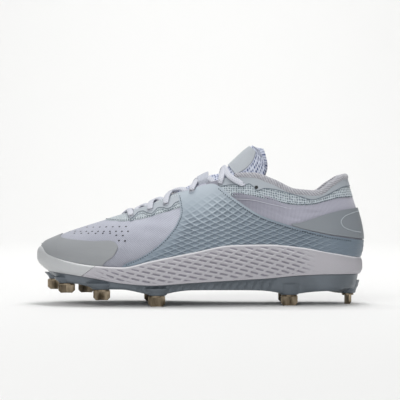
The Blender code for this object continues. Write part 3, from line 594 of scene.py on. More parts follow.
def quarter_textile():
    """Woven polyester lined with foam, mauve grey with fine upright ribs, lighter towards the heel"""
    made, tree, shader = material("quarter_textile", "#878791", 0.8, Sheen_Weight=0.3)
    at = node(tree, "TexCoord")
    ribs = node(tree, "TexWave", {
        "Vector": at["UV"], "Scale": BAND / (1.3 * MM), "Distortion": 1.6, "Detail": 1.5,
    }, bands_direction="X")["Fac"]
    # Darker towards the front and lighter towards the heel: painted shade
    along = node(tree, "SeparateXYZ", {0: at["Object"]})["X"]
    back = node(tree, "MapRange", {"Value": along, "From Min": 0.020, "From Max": 0.085})["Result"]
    base = node(tree, "Mix", {0: back, 6: srgb("#8C8D99"), 7: srgb("#B0B0BE")}, **BLEND)[2]
    dark = node(tree, "ValToRGB", {"Fac": ribs}, [(0.0, "#8E8E92"), (1.0, "#FFFFFF")])["Color"]
    shade = node(tree, "Mix", {0: 0.35, 6: base, 7: dark}, **SHADE)[2]
    surface(tree, shader, shade, ribs, 0.25 * MM, 0.6)
    return made


def heathered_knit():
    """Ribbed collar knit of mixed light and dark polyester yarns"""
    made, tree, shader = material("heathered_collar_knit", "#B5B3B5", 0.9, Sheen_Weight=0.35)
    at = node(tree, "TexCoord")
    stretched = node(tree, "Mapping", {"Vector": at["UV"], "Scale": (0.5 / MM, 0.7 / MM, 1)})["Vector"]
    yarn = node(tree, "TexNoise", {"Vector": stretched, "Scale": 1.0, "Detail": 1.0})["Fac"]
    loops = node(tree, "TexWave", {
        "Vector": at["UV"], "Scale": BAND / (1.41 * MM), "Distortion": 0.8,
    }, bands_direction="DIAGONAL")["Fac"]
    light = node(tree, "ValToRGB", {"Fac": yarn}, [(0.32, "#A3A3A9"), (0.68, "#BDBDC3")])["Color"]
    dark = node(tree, "ValToRGB", {"Fac": loops}, [(0.0, "#A4A6AC"), (0.5, "#FFFFFF")])["Color"]
    shade = node(tree, "Mix", {0: 0.6, 6: light, 7: dark}, **SHADE)[2]
    height = node(tree, "Math", {0: yarn, 1: loops}, operation="ADD")[0]
    surface(tree, shader, shade, height, 0.35 * MM, 0.8)
    return made


def braided_lace():
    """Flat braided polyester lace: off-white, with slanted strands"""
    made, tree, shader = material("braided_polyester_lace", "#D8D6D8", 0.75, Sheen_Weight=0.25)
    at = node(tree, "TexCoord")["UV"]
    turned = node(tree, "Mapping", {"Vector": at, "Scale": (-1, 1, 1)})["Vector"]
    right, left = (
        node(tree, "TexWave", {"Vector": way, "Scale": BAND / (1.1 * MM)}, bands_direction="DIAGONAL")["Fac"]
        for way in (at, turned)
    )
    strands = node(tree, "Math", {0: right, 1: left}, operation="MAXIMUM")[0]
    shade = node(tree, "ValToRGB", {"Fac": strands}, [(0.2, "#A6ABB9"), (0.7, "#C8CAD2")])["Color"]
    surface(tree, shader, shade, strands, 0.14 * MM, 0.6)
    return made


def foam_rubber():
    """Compression moulded EVA foam with a fine cross-hatched skin; the lip catches the light"""
    made, tree, shader = material("moulded_eva_foam", "#B3B0B6", 0.62)
    at = node(tree, "TexCoord")
    hatching = BAND / (1.455 * MM)
    turned = node(tree, "Mapping", {"Vector": at["UV"], "Scale": (-1, 1, 1)})["Vector"]
    right, left = (
        node(tree, "TexWave", {"Vector": way, "Scale": hatching}, bands_direction="DIAGONAL")["Fac"]
        for way in (at["UV"], turned)
    )
    hatch = node(tree, "Math", {0: right, 1: left}, operation="MULTIPLY")[0]
    hatch = node(tree, "Math", {0: hatch, 1: 0.7}, operation="MULTIPLY")[0]
    grain = node(tree, "TexNoise", {"Vector": at["Object"], "Scale": 1 / (1.0 * MM), "Detail": 2.0})["Fac"]
    grain = node(tree, "Math", {0: grain, 1: 0.5}, operation="MULTIPLY")[0]
    height = node(tree, "Math", {0: hatch, 1: grain}, operation="ADD")[0]
    shade = srgb("#AEACB2")
    # lip: painted highlight along the rim and under each pit; pit: painted shade in the pits
    for name, colour in (("lip", "#E2E1E5"), ("pit", "#87858E")):
        mask = node(tree, "Attribute", attribute_name=name)["Fac"]
        shade = node(tree, "Mix", {0: mask, 6: shade, 7: srgb(colour)}, **BLEND)[2]
    surface(tree, shader, shade, height, 0.22 * MM, 0.7)
    return made


def toe_rubber():
    """Moulded solid rubber: smooth, pale grey, with a painted highlight that makes it a little brighter along
    its upper edge
    """
    made, tree, shader = material("toe_rubber", "#C6CBCC", 0.42, Coat_Weight=0.1, Coat_Roughness=0.3)
    lip = node(tree, "Attribute", attribute_name="lip")["Fac"]
    shade = node(tree, "Mix", {0: lip, 6: srgb("#B8BABC"), 7: srgb("#E6E8E9")}, **BLEND)[2]
    at = node(tree, "TexCoord")["Object"]
    grain = node(tree, "TexNoise", {"Vector": at, "Scale": 1 / (2.0 * MM), "Detail": 3.0})["Fac"]
    surface(tree, shader, shade, grain, 0.05 * MM, 0.4)
    return made


def plate_plastic():
    """Injection moulded TPU: slate grey with a satin, finely eroded surface"""
    made, tree, shader = material("moulded_tpu_plate", "#6B757D", 0.42, Coat_Weight=0.15, Coat_Roughness=0.3)
    at = node(tree, "TexCoord")["Object"]
    cloud = node(tree, "TexNoise", {"Vector": at, "Scale": 60.0, "Detail": 3.0})["Fac"]
    shade = node(tree, "ValToRGB", {"Fac": cloud}, [(0.3, "#525A61"), (0.7, "#626A72")])["Color"]
    grain = node(tree, "TexNoise", {"Vector": at, "Scale": 1 / (1.0 * MM), "Detail": 2.0})["Fac"]
    surface(tree, shader, shade, grain, 0.06 * MM, 0.5)
    return made


def stud_steel():
    """Stamped carbon steel with a warm zinc finish, streaked darker and brighter at random: a painted
    reflection of its dark and bright facets
    """
    made, tree, shader = material("stamped_zinc_steel", "#A1927C", 0.32, Metallic=1.0)
    at = node(tree, "TexCoord")["Object"]
    stretched = node(tree, "Mapping", {"Vector": at, "Scale": (170.0, 170.0, 70.0)})["Vector"]
    drawn = node(tree, "TexNoise", {"Vector": stretched, "Scale": 1.0, "Detail": 3.0})["Fac"]
    # Dark and bright streaks in the base colour: painted reflection
    shade = node(tree, "ValToRGB", {"Fac": drawn}, [(0.35, "#554B3C"), (0.65, "#AC9D87")])["Color"]
    rough = node(tree, "MapRange", {"Value": drawn, "To Min": 0.24, "To Max": 0.42})["Result"]
    tree.links.new(rough, shader.inputs["Roughness"])
    surface(tree, shader, shade, drawn, 0.03 * MM, 0.5)
    return made


def plain_cloth(name, colour, pitch):
    """Plain woven polyester, as lining, label, webbing or insole cover"""
    made, tree, shader = material(name, colour, 0.88, Sheen_Weight=0.2)
    at = node(tree, "TexCoord")["UV"]
    weft, warp = (
        node(tree, "TexWave", {"Vector": at, "Scale": BAND / pitch}, bands_direction=way)["Fac"]
        for way in "XY"
    )
    weave = node(tree, "Math", {0: weft, 1: warp}, operation="MULTIPLY")[0]
    dark = node(tree, "ValToRGB", {"Fac": weave}, [(0.0, "#909090"), (1.0, "#FFFFFF")])["Color"]
    shade = node(tree, "Mix", {0: 0.35, 6: srgb(colour), 7: dark}, **SHADE)[2]
    surface(tree, shader, shade, weave, 0.2 * MM, 0.6)
    return made


def thread(name, colour):
    """Bonded polyester sewing thread, also for thin beads and the shade in a hole"""
    made, tree, shader = material(name, colour, 0.6)
    at = node(tree, "TexCoord")["Object"]
    twist = node(tree, "TexNoise", {"Vector": at, "Scale": 1 / (1.0 * MM), "Detail": 2.0})["Fac"]
    surface(tree, shader, None, twist, 0.1 * MM, 0.5)
    return made


vamp_knit = knit_polyester()
lining_cloth = plain_cloth("lining_cloth", "#9C9EA8", 1.3 * MM)
throat_mesh_cloth = open_mesh("throat_mesh", "#A9B2B8", "#7D8A92", 1.7 * MM, 0.4 * MM, "#C6CED2")
rear_mesh_cloth = open_mesh("rear_mesh", "#A2ACB3", "#65717B", 2.2 * MM, 0.5 * MM, "#BFC8CE")
tongue_mesh_cloth = open_mesh("tongue_spacer_mesh", "#AEB5C9", "#4F5D88", 2.6 * MM, 0.9 * MM, "#D4D9E7")
saddle_skin = moulded_skin()
toe_film = fused_film("toe_film", "#909396", 0.55, dotted=True)
eyestay_film = fused_film("eyestay_film", "#A5ACB3", 0.5)
counter_film = fused_film("counter_film", "#80868C", 0.5)
quarter_cloth = quarter_textile()
collar_knit = heathered_knit()
lace_braid = braided_lace()
midsole_foam = foam_rubber()
bumper_rubber = toe_rubber()
plate_tpu = plate_plastic()
steel = stud_steel()
label_cloth = plain_cloth("label_cloth", "#C6CCD2", 0.8 * MM)
keeper_web = plain_cloth("keeper_webbing", "#C9CDD8", 1.4 * MM)
insole_cloth = plain_cloth("insole_cloth", "#5E636C", 1.5 * MM)
dark_thread = thread("dark_thread", "#3B444E")
dark_film = thread("film_edge", "#6E7983")
# Light thread of the quarter's raised seam, partly a painted highlight
seam_highlight_thread = thread("seam_highlight_thread", "#C6C7D1")
hole_dark = thread("hole_shadow", "#15171B")


# Charts and bands round the upper
def girth(turns):
    """Distance round the shoe along the sole's edge, from the toe"""
    return lengths(edge_point(*angle_side(turns)))


def chart_of(points):
    """UV map of a laid grid: distance along its columns and rows, in metres"""
    around = np.linalg.norm(np.diff(points, axis=1), axis=-1).mean(0)
    around = np.concatenate([[0], np.cumsum(around)])
    up = np.linalg.norm(np.diff(points, axis=0), axis=-1)
    up = np.concatenate([np.zeros((1, points.shape[1])), np.cumsum(up, axis=0)])
    return np.stack([np.broadcast_to(around, up.shape), up], -1)


def even(turns, count):
    """Turns spaced evenly along the sole's edge, over the same range"""
    fine = np.linspace(turns[0], turns[-1], 2000)
    run = girth(fine)
    return np.interp(np.linspace(0, run[-1], count), run, fine)


def grid_normals(points):
    """Normals of a laid grid, from its neighbours"""
    along = np.gradient(points, axis=1)
    up = np.gradient(points, axis=0)
    return unit(np.cross(along, up))


def softstep(x, low, high):
    """0 up to low, 1 from high, and a smooth rise between them"""
    t = np.clip((x - low) / (high - low), 0, 1)
    return t * t * (3 - 2 * t)


# Upper
upper_turns = even((0.0, WHOLE), 421)
upper_rises = np.linspace(0, 1, 61)


def crease(turn, rise, x, z, long, tall, fall, depth):
    """One soft fold: a trough with a ridge above it, which falls towards the heel"""
    at_turn, at_rise = spot(x, z, -1)
    along = (share_at(angle_side(turn)[0]) - share_at(at_turn)) / long
    off = (rise - at_rise + fall * along) / tall
    fold = np.exp(-along ** 2) * (-np.exp(-off ** 2) + 0.6 * np.exp(-(off - 1.6) ** 2))
    return depth * fold


# Folds of the quarter and vamp: x and z shares, then length, height, fall and depth
fold_rows = [
    (0.655, 0.775, 0.060, 0.028, 0.020, 0.00190), (0.660, 0.735, 0.050, 0.026, 0.030, 0.00130),
    (0.740, 0.735, 0.060, 0.028, 0.024, 0.00160), (0.750, 0.695, 0.060, 0.026, 0.030, 0.00120),
    (0.830, 0.700, 0.045, 0.024, 0.000, 0.00080), (0.380, 0.640, 0.025, 0.040, 0.030, 0.00050),
    (0.345, 0.560, 0.030, 0.040, 0.030, 0.00055), (0.300, 0.480, 0.030, 0.045, 0.020, 0.00050),
    (0.270, 0.400, 0.030, 0.040, 0.010, 0.00045), (0.390, 0.540, 0.020, 0.045, 0.030, 0.00045),
]
tt, rr = np.meshgrid(upper_turns, upper_rises)
fold_out = sum(crease(tt, rr, *row) for row in fold_rows)
upper_points = skin(tt, rr, fold_out)
shell = laid("knit_shell", upper_points, chart_of(upper_points))
weld(shell)
modify(
    shell, "SOLIDIFY", thickness=WALL, offset=-1, use_even_offset=True, use_quality_normals=True,
    material_offset=1, material_offset_rim=0,
)
smooth(shell, 50)
finish(shell, [vamp_knit, lining_cloth, quarter_cloth], "upper")
rear_share = 0.52
for face in shell.data.polygons:
    if face.material_index == 0 and (face.center.x - SHIFT[0]) / LENGTH + 0.5 > rear_share:
        face.material_index = 2


# Panels laid on the upper
def outline_curve(points, count):
    """Points spread evenly by length on a smooth curve through an outline"""
    points = np.array(points, float)
    reach = lengths(points * (LENGTH, INSTEP_HEIGHT))
    at = np.linspace(0, reach[-1], count)
    return np.stack([curve(reach, points[:, 0])(at), curve(reach, points[:, 1])(at)], -1)


def trace(outline, count, side):
    """Turns and rises along a line drawn from the side"""
    flat = outline_curve(outline, count)
    return spot(flat[:, 0], flat[:, 1], side)


def one_side_panel(name, low, high, side, out, wide, tall):
    """Panel between two outlines drawn from the side, on the outer (-1) or inner (1) side of the foot"""
    bottom = outline_curve(low, wide)
    top = outline_curve(high, wide)
    v = np.linspace(0, 1, tall)[:, None, None]
    flat = bottom[None] * (1 - v) + top[None] * v
    turn, rise = spot(flat[..., 0], flat[..., 1], side)
    if side > 0:
        turn = turn[:, ::-1]
        rise = rise[:, ::-1]
    points = skin(turn, rise, out)
    return laid(name, points, chart_of(points))


def wrapped_panel(name, first, last, low, high, out, wide, tall):
    """Panel round the toe or heel, between two turns and two functions that give the rise at a turn"""
    turns = even((first, last), wide)
    start = low(turns)
    end = high(turns)
    v = np.linspace(0, 1, tall)[:, None]
    rise = start[None] * (1 - v) + end[None] * v
    turn = np.broadcast_to(turns, rise.shape)
    points = skin(turn, rise, out)
    return laid(name, points, chart_of(points))


def panel_body(made, thick, degrees=40):
    """Gives a laid sheet its thickness, inwards"""
    modify(made, "SOLIDIFY", thickness=thick, offset=-1)
    return smooth(made, degrees)


def rise_under(turns, share_height):
    """Rise of the upper at a height given as a share of INSTEP_HEIGHT"""
    return rise_at(turns, INSTEP_HEIGHT * share_height)


# Toe overlay: a cap of film over the toe, its back edge rounded on each side
toe_top = curve(
    [0.000, 0.070, 0.085, 0.121, 0.188, 0.236, 0.254, 0.262],
    [0.600, 0.545, 0.503, 0.489, 0.479, 0.484, 0.470, 0.441],
)
toe_low = curve(
    [0.000, 0.100, 0.195, 0.221, 0.241, 0.254, 0.262],
    [0.300, 0.240, 0.260, 0.330, 0.360, 0.400, 0.441],
)
toe_back = float(angle_at(0.2615))
TOE_CLOSED = 0.0725  # share of the length up to where the cap goes right over the ridge


def toe_panel_top(turns):
    angle = angle_side(turns)[0]
    share = share_at(angle)
    return np.where(share < TOE_CLOSED, 1.0, rise_under(turns, toe_top(share)))


def toe_panel_low(turns):
    angle = angle_side(turns)[0]
    return rise_under(turns, toe_low(share_at(angle)))


toe = wrapped_panel(
    "toe_cap_film", -toe_back, toe_back, toe_panel_low, toe_panel_top, TOE_SHEET[0], 161, 41,
)
weld(toe)
panel_body(toe, TOE_SHEET[1])
finish(toe, toe_film, "toe_overlay")


# Saddle: moulded skin with a sunk diamond lattice, one panel on each side that meet at the heel
LOW_CELL = (11.7 * MM, 4.5 * MM)  # width and height of a diamond near the sole
HIGH_CELL = (9.0 * MM, 6.2 * MM)  # and near the throat
LATTICE_DEPTH = 1.22 * MM
lattice_middle = 0.585  # share of the length where the columns stand upright
saddle_low = [
    (0.262, 0.250), (0.330, 0.250), (0.420, 0.300), (0.520, 0.350), (0.640, 0.380), (0.800, 0.380),
    (0.940, 0.350), (0.960, 0.345),
]
saddle_high = [
    (0.272, 0.300), (0.277, 0.312), (0.323, 0.359), (0.368, 0.429), (0.407, 0.518), (0.434, 0.612),
    (0.445, 0.700), (0.442, 0.760), (0.437, 0.822), (0.473, 0.858), (0.503, 0.884), (0.541, 0.905),
    (0.562, 0.886), (0.589, 0.828), (0.640, 0.737), (0.682, 0.675), (0.761, 0.606), (0.816, 0.567),
    (0.862, 0.540), (0.908, 0.517), (0.960, 0.498),
]


def path_on(outline, side, count, heel):
    """Turns and rises along an outline drawn from the side, carried on to the heel's middle at a height"""
    flat = outline_curve(outline, count)
    turn, rise = spot(flat[:, 0], flat[:, 1], side)
    angle = angle_side(turn)[0]
    more = np.linspace(angle[-1], math.pi, count // 8)[1:]
    share = (more - angle[-1]) / (math.pi - angle[-1])
    height = flat[-1, 1] + (heel - flat[-1, 1]) * share * (2 - share)
    turn = np.concatenate([angle, more])
    rise = np.concatenate([rise, rise_at(more, INSTEP_HEIGHT * height)])
    points = lasted(turn, rise)
    run = lengths(points)
    at = np.linspace(0, run[-1], count)
    return np.interp(at, run, turn), np.interp(at, run, rise)


def ripple(x):
    """Distance to the nearest whole number"""
    return np.abs(x - np.rint(x))


BLEND_LEVELS = (0.56, 0.72)  # heights between which the low cells turn into the high ones
high_levels = np.linspace(0.2, 1.0, 200)
cell_blend = softstep(high_levels, *BLEND_LEVELS)
cell_height = LOW_CELL[1] + (HIGH_CELL[1] - LOW_CELL[1]) * cell_blend
rows_up = np.concatenate([[0], np.cumsum(np.diff(high_levels) * INSTEP_HEIGHT / cell_height[1:])])


def lattice(x, z, u, v):
    """Depth of the saddle's diamond pits from 0 to 1; they fade at the top, the rims and the heel"""
    blend = softstep(z, *BLEND_LEVELS)
    across = (x - lattice_middle) * LENGTH / (LOW_CELL[0] + (HIGH_CELL[0] - LOW_CELL[0]) * blend)
    up = np.interp(z, high_levels, rows_up)
    near = np.minimum(ripple(across + up), ripple(across - up))
    pit = softstep(near, 0.05, 0.22)
    fade = 1 - softstep(z, 0.70, 0.86)
    fade *= 1 - 0.85 * softstep(x, 0.80, 0.93)
    fade *= softstep(1 - v, 0.04, 0.10) * softstep(u, 0.03, 0.09)
    fade *= 1 - 0.75 * softstep(v, 0.45, 0.80) * (1 - softstep(x, 0.46, 0.57))
    fade *= 1 - 0.80 * softstep(z, 0.58, 0.74) * (1 - softstep(x, 0.50, 0.58))
    return pit * fade


def saddle_side(name, side):
    """One side of the saddle; below the rim of the midsole it lies close to the upper"""
    wide, tall = 421, 113
    low_turn, low_rise = path_on(saddle_low, -1, wide, 0.340)
    high_turn, high_rise = path_on(saddle_high, -1, wide, 0.486)
    v = np.linspace(0, 1, tall)[:, None]
    u = np.broadcast_to(np.linspace(0, 1, wide), (tall, wide))
    turn = low_turn * (1 - v) + high_turn * v
    rise = low_rise * (1 - v) + high_rise * v
    seen = lasted(turn, rise)
    x = seen[..., 0] / LENGTH + 0.5
    z = seen[..., 2] / INSTEP_HEIGHT
    rim = line("rim")(angle_at(x)) / INSTEP_HEIGHT
    sunk = lattice(x, z, u, v)
    out = SADDLE_RIM + (PANEL_TOP - SADDLE_RIM - LATTICE_DEPTH * sunk) * softstep(z - rim, -0.005, 0.012)
    # Upper wall of each pit, for painted shade, and its lower lip, for a painted highlight
    roof = np.clip(np.gradient(sunk, axis=0) * -3.0, 0, 1)
    lip = np.clip(np.gradient(sunk, axis=0) * 3.0, 0, 1)
    pattern = np.stack([x * LENGTH, z * INSTEP_HEIGHT], -1)
    if side > 0:
        turn = (WHOLE - turn)[:, ::-1]
        rise = rise[:, ::-1]
        out = out[:, ::-1]
        pattern = pattern[:, ::-1]
        sunk, roof, lip = sunk[:, ::-1], roof[:, ::-1], lip[:, ::-1]
    made = laid(name, skin(turn, rise, out), pattern)
    # Painted shade deepening with the pits and darkest on their upper walls, painted highlight on their lower
    # lips
    paint(made, "pit", np.clip(0.35 * sunk + roof, 0, 1))
    paint(made, "lip", lip)
    weld(made, CLOSE)
    return panel_body(made, SADDLE_THICK, 60)


saddle_outer = saddle_side("saddle_outer", -1)
saddle_inner = saddle_side("saddle_inner", 1)
finish(saddle_outer, saddle_skin, "saddle")
finish(saddle_inner, saddle_skin, slot="saddle")


# Mesh panels and the films on them
def top_line(*shares):
    """Points of the upper's top line, seen from the side"""
    return [(share, float(upper["top"](angle_at(share)))) for share in shares]


throat_low = [
    (0.214, 0.636), (0.267, 0.629), (0.303, 0.638), (0.336, 0.653), (0.369, 0.675), (0.411, 0.708),
    (0.450, 0.738),
]
throat_high = top_line(0.214, 0.252, 0.272, 0.300, 0.360, 0.405, 0.450)
film_front_low = [
    (0.292, 0.640), (0.300, 0.648), (0.309, 0.672), (0.318, 0.692), (0.331, 0.698), (0.343, 0.686),
    (0.357, 0.680), (0.366, 0.698), (0.376, 0.722), (0.390, 0.726), (0.403, 0.717), (0.416, 0.728),
    (0.426, 0.756), (0.446, 0.780),
]
film_front_high = [
    (0.290, 0.690), (0.299, 0.702), (0.336, 0.738), (0.366, 0.762), (0.388, 0.778), (0.409, 0.794),
    (0.446, 0.832),
]
sides = (("outer", -1), ("inner", 1))
throat_pieces = []
film_pieces = []
for side_name, side in sides:
    out, thick = MESH_SHEET
    made = one_side_panel("throat_mesh_" + side_name, throat_low, throat_high, side, out, 121, 25)
    throat_pieces.append(panel_body(made, thick))
    out, thick = FILM_SHEET
    made = one_side_panel("eyestay_" + side_name, film_front_low, film_front_high, side, out, 121, 13)
    film_pieces.append(panel_body(made, thick))
throat_mesh = joined("throat_mesh", throat_pieces)
finish(throat_mesh, throat_mesh_cloth, slot="upper")
eyestay = joined("eyestay_film_front", film_pieces)
finish(eyestay, eyestay_film, slot="upper")


def share_curve(rows):
    """Rise at a turn for heights given against the share of the length"""
    rows = np.array(rows, float)
    height = curve(rows[:, 0], rows[:, 1])
    return lambda turns: rise_under(turns, height(share_at(angle_side(turns)[0])))


def at_top(turns):
    return np.ones(np.shape(turns))


rear_start = float(angle_at(0.560))
rear_mesh_low = share_curve([
    (0.560, 0.830), (0.600, 0.822), (0.631, 0.823), (0.660, 0.818), (0.679, 0.809), (0.716, 0.789),
    (0.782, 0.756), (0.825, 0.749), (0.868, 0.758), (0.912, 0.784), (0.955, 0.806), (0.985, 0.812),
    (1.000, 0.814),
])
rear_mesh = wrapped_panel(
    "rear_mesh", rear_start, WHOLE - rear_start, rear_mesh_low, at_top, MESH_SHEET[0], 361, 31,
)
panel_body(rear_mesh, MESH_SHEET[1])
finish(rear_mesh, rear_mesh_cloth, slot="upper")

film_start = float(angle_at(0.567))
film_rear_low = share_curve([
    (0.560, 0.885), (0.593, 0.899), (0.612, 0.900), (0.628, 0.886), (0.640, 0.902), (0.651, 0.908),
    (0.662, 0.889), (0.674, 0.858), (0.687, 0.866), (0.699, 0.875), (0.722, 0.870), (0.757, 0.851),
    (0.789, 0.832), (0.820, 0.812), (0.860, 0.790), (0.900, 0.812), (0.945, 0.858), (0.980, 0.890),
    (1.000, 0.896),
])
film_rear = wrapped_panel(
    "eyestay_film_rear", film_start, WHOLE - film_start, film_rear_low, at_top, FILM_SHEET[0], 421, 13,
)
panel_body(film_rear, FILM_SHEET[1])
finish(film_rear, eyestay_film, slot="upper")

# Heel counter, a smooth panel round the back
counter_start = float(angle_at(0.780))
counter_low = share_curve([
    (0.780, 0.604), (0.800, 0.586), (0.862, 0.551), (0.908, 0.528), (0.957, 0.510), (0.985, 0.500),
    (1.0, 0.492),
])
counter_high = share_curve([
    (0.780, 0.612), (0.800, 0.616), (0.840, 0.640), (0.890, 0.675), (0.940, 0.706), (0.980, 0.722),
    (1.0, 0.728),
])
counter = wrapped_panel(
    "counter_panel", counter_start, WHOLE - counter_start, counter_low, counter_high,
    COUNTER_SHEET[0], 201, 37,
)
panel_body(counter, COUNTER_SHEET[1])
finish(counter, counter_film, "heel_counter")


# Round and flat tubes
def frames(points, ups):
    """Directions along, across and over a path, for points with the direction of their upper face"""
    along = unit(np.gradient(points, axis=0))
    across = unit(np.cross(along, ups))
    return along, across, np.cross(across, along)


def tube_piece(name, points, ups, half_wide, half_thick, around=16, squareness=1.0):
    """Closed tube along a path, its ends rounded; its UV map runs along and round it in metres"""
    points = np.asarray(points, float)
    along, across, over = frames(points, np.asarray(ups, float))
    angles = np.linspace(0, WHOLE, around + 1)
    round_x = np.sign(np.cos(angles)) * np.abs(np.cos(angles)) ** squareness
    round_y = np.sign(np.sin(angles)) * np.abs(np.sin(angles)) ** squareness
    rings = []
    chart_rows = []
    run = lengths(points)
    last = len(points) - 1
    caps = [(0.0, 1.0), (0.5, 0.87), (0.87, 0.5), (1.0, 0.02)]
    stops = [(0, -c * half_thick, s) for c, s in reversed(caps[1:])]
    stops += [(i, 0.0, 1.0) for i in range(last + 1)]
    stops += [(last, c * half_thick, s) for c, s in caps[1:]]
    for i, push, size in stops:
        sideways = across[i] * (half_wide * size * round_x)[:, None]
        upwards = over[i] * (half_thick * size * round_y)[:, None]
        rings.append(points[i] + along[i] * push + sideways + upwards)
        girth_here = angles / WHOLE * math.pi * (half_wide + half_thick)
        chart_rows.append(np.stack([np.full(around + 1, run[i] + push), girth_here], -1))
    return smooth(closed(laid(name, rings, chart_rows)), 60)


def bent(points, shares):
    """Points on a smooth curve through a row of points"""
    points = np.asarray(points, float)
    at = np.asarray(shares, float) * (len(points) - 1)
    i = np.clip(at.astype(int), 0, len(points) - 2)
    t = (at - i).reshape(at.shape + (1,) * (points.ndim - 1))
    a, b, c, d = (points[np.clip(i + k, 0, len(points) - 1)] for k in (-1, 0, 1, 2))
    slope = (c - a) * (0.5 * t)
    bend = (a * 2 - b * 5 + c * 4 - d) * (0.5 * t * t)
    return b + slope + bend + ((b - c) * 3 + d - a) * (0.5 * t ** 3)


# Thin beads along the edges of the films, which read as their dark outlines: partly the films' own double
# line, partly painted shadow under their edges
BEAD = 0.00030  # radius
BEAD_ON_FILM = 0.0009  # height above the upper
BEAD_ON_MESH = 0.0005
SEAM_HIGHLIGHT_OUT = 0.0003


def bead(name, turn, level, out):
    return tube_piece(name, skin(turn, level, out), normal(turn, level), BEAD, BEAD, 6)


beads = []
for side_name, side in sides:
    for number, drop in enumerate((0.004, -0.012)):
        turn, rise = trace([(x, z + drop) for x, z in film_front_low], 200, side)
        out = BEAD_ON_FILM if drop > 0 else BEAD_ON_MESH
        beads.append(bead(f"film_front_{side_name}_{number}", turn, rise, out))
turns = even((film_start, WHOLE - film_start), 500)
beads.append(bead("film_rear_edge", turns, film_rear_low(turns), BEAD_ON_FILM))
finish(joined("film_outlines", beads), dark_film, slot="upper")

# Raised light seam under the ankle mesh: partly piping, partly a painted highlight on the ridge of the
# quarter's top fold
seam_highlight_line = [
    (0.590, 0.795), (0.626, 0.794), (0.660, 0.788), (0.702, 0.764), (0.741, 0.743), (0.775, 0.722),
]
beads = []
for side_name, side in sides:
    turn, rise = trace(seam_highlight_line, 120, side)
    beads.append(bead("quarter_seam_highlight_" + side_name, turn, rise, SEAM_HIGHLIGHT_OUT))
finish(joined("quarter_seam_highlight", beads), seam_highlight_thread, slot="upper")

# Collar roll along the top line, from one side of the throat round the heel to the other
roll_start = float(angle_at(0.614))
roll_turns = even((roll_start, WHOLE - roll_start), 260)
roll_up = unit(lasted(roll_turns, 1.0) - lasted(roll_turns, 0.97))
roll_middle = skin(roll_turns, 1.0, -WALL / 2) + roll_up * (ROLL_RADIUS * 0.75)
roll = tube_piece("knit_collar_roll", roll_middle, roll_up, ROLL_RADIUS, ROLL_RADIUS * 1.05, 20)
finish(roll, collar_knit, "collar_roll")


# Tongue
def side_turn(angle, side):
    return angle if side < 0 else WHOLE - angle


def tongue_row(share, crown, tuck):
    """Five points across the tongue under the throat"""
    angle = float(angle_at(share))
    out = -(WALL + 4 * SEAT)
    low = [skin(side_turn(angle, side), tuck, out) for side in (-1, 1)]
    high = [skin(side_turn(angle, side), 1.0, out) for side in (-1, 1)]
    middle = (high[0] + high[1]) / 2 + np.array([0, 0, crown * BALL_WIDTH])
    return [low[0], high[0], middle, high[1], low[1]]


def tongue_tip_row(mid_x, mid_z, side_x, side_z, half):
    """Five points across the tongue above the throat"""
    row = []
    for across in (-1, -0.66, 0, 0.66, 1):
        share = abs(across) ** 1.7
        row.append([
            LENGTH * ((1 - share) * mid_x + share * side_x - 0.5),
            BALL_WIDTH * (0.01 + half * across * (1.12 - 0.12 * abs(across))),
            INSTEP_HEIGHT * ((1 - share) * mid_z + share * side_z),
        ])
    return row


under_throat = [tongue_row(*row) for row in tongue_rows]
above_throat = [tongue_tip_row(*row) for row in tongue_tip_rows]
tongue_points = np.array(under_throat + above_throat)


def tongue_grid(alongs, acrosses):
    """Points of the tongue's face and the directions out of it"""
    def face(a, c):
        rows = bent(tongue_points, np.clip(a, 0, 1))
        return np.swapaxes(bent(np.swapaxes(rows, 0, 1), np.clip(c, 0, 1)), 0, 1)

    step = 0.008
    points = face(alongs, acrosses)
    first = face(alongs + step, acrosses) - face(alongs - step, acrosses)
    second = face(alongs, acrosses + step) - face(alongs, acrosses - step)
    return points, unit(np.cross(first, second))


TONGUE_RIM = 0.0016  # widest rounding of a patch's rim


def tongue_patch(name, alongs, acrosses, low, high, arch=0.0):
    """Closed patch that follows the tongue's face between two offsets, its rims rounded"""
    points, outs = tongue_grid(alongs, acrosses)
    if arch:
        lift = np.clip(np.sin(np.linspace(0, math.pi, len(acrosses))) * 2.2, 0, 1) * arch
        points = points + outs * lift[None, :, None]
    points = (points + outs * high)[:, ::-1]
    made = laid(name, points, chart_of(points))
    thick = high - low
    modify(made, "SOLIDIFY", thickness=thick, offset=-1)
    rounding = min(TONGUE_RIM, thick * 0.35)
    modify(made, "BEVEL", width=rounding, segments=3, limit_method="ANGLE", angle_limit=1.0)
    return smooth(made, 50)


tongue = tongue_patch("padded_tongue", np.linspace(0, 1, 121), np.linspace(0, 1, 49), -TONGUE_THICK, 0.0)
finish(tongue, tongue_mesh_cloth, "tongue")
LABEL_SHEET = (0.0001, 0.0011)  # under side and face above the tongue
KEEPER_SHEET = (0.0003, 0.0014)
KEEPER_ARCH = 0.0029
label = tongue_patch("label_patch", np.linspace(0.66, 0.93, 41), np.linspace(0.27, 0.73, 41), *LABEL_SHEET)
finish(label, label_cloth, "tongue_label")
keeper = tongue_patch(
    "keeper_loop", np.linspace(0.442, 0.498, 9), np.linspace(0.29, 0.71, 41), *KEEPER_SHEET, KEEPER_ARCH,
)
finish(keeper, keeper_web, "lace_keeper")

# Laces, run from hole to hole
ridge = tongue_points[:, 2]
LACE_CLEAR = 0.0004  # between a lace and what it lies on
LACE_TUCK = 0.0006  # between the upper's inside and the middle of a hidden run
LACE_CROSS = 0.0009  # how much higher one lace of a pair lies
LACE_BULGE = 0.010  # rise of a lace between tongue and throat, of BALL_WIDTH
LACE_AT_HOLE = 0.0002  # the same where it lies on the film beside its hole
SADDLE_AT_HOLE = 0.0006  # extra height of a hole that goes through the saddle


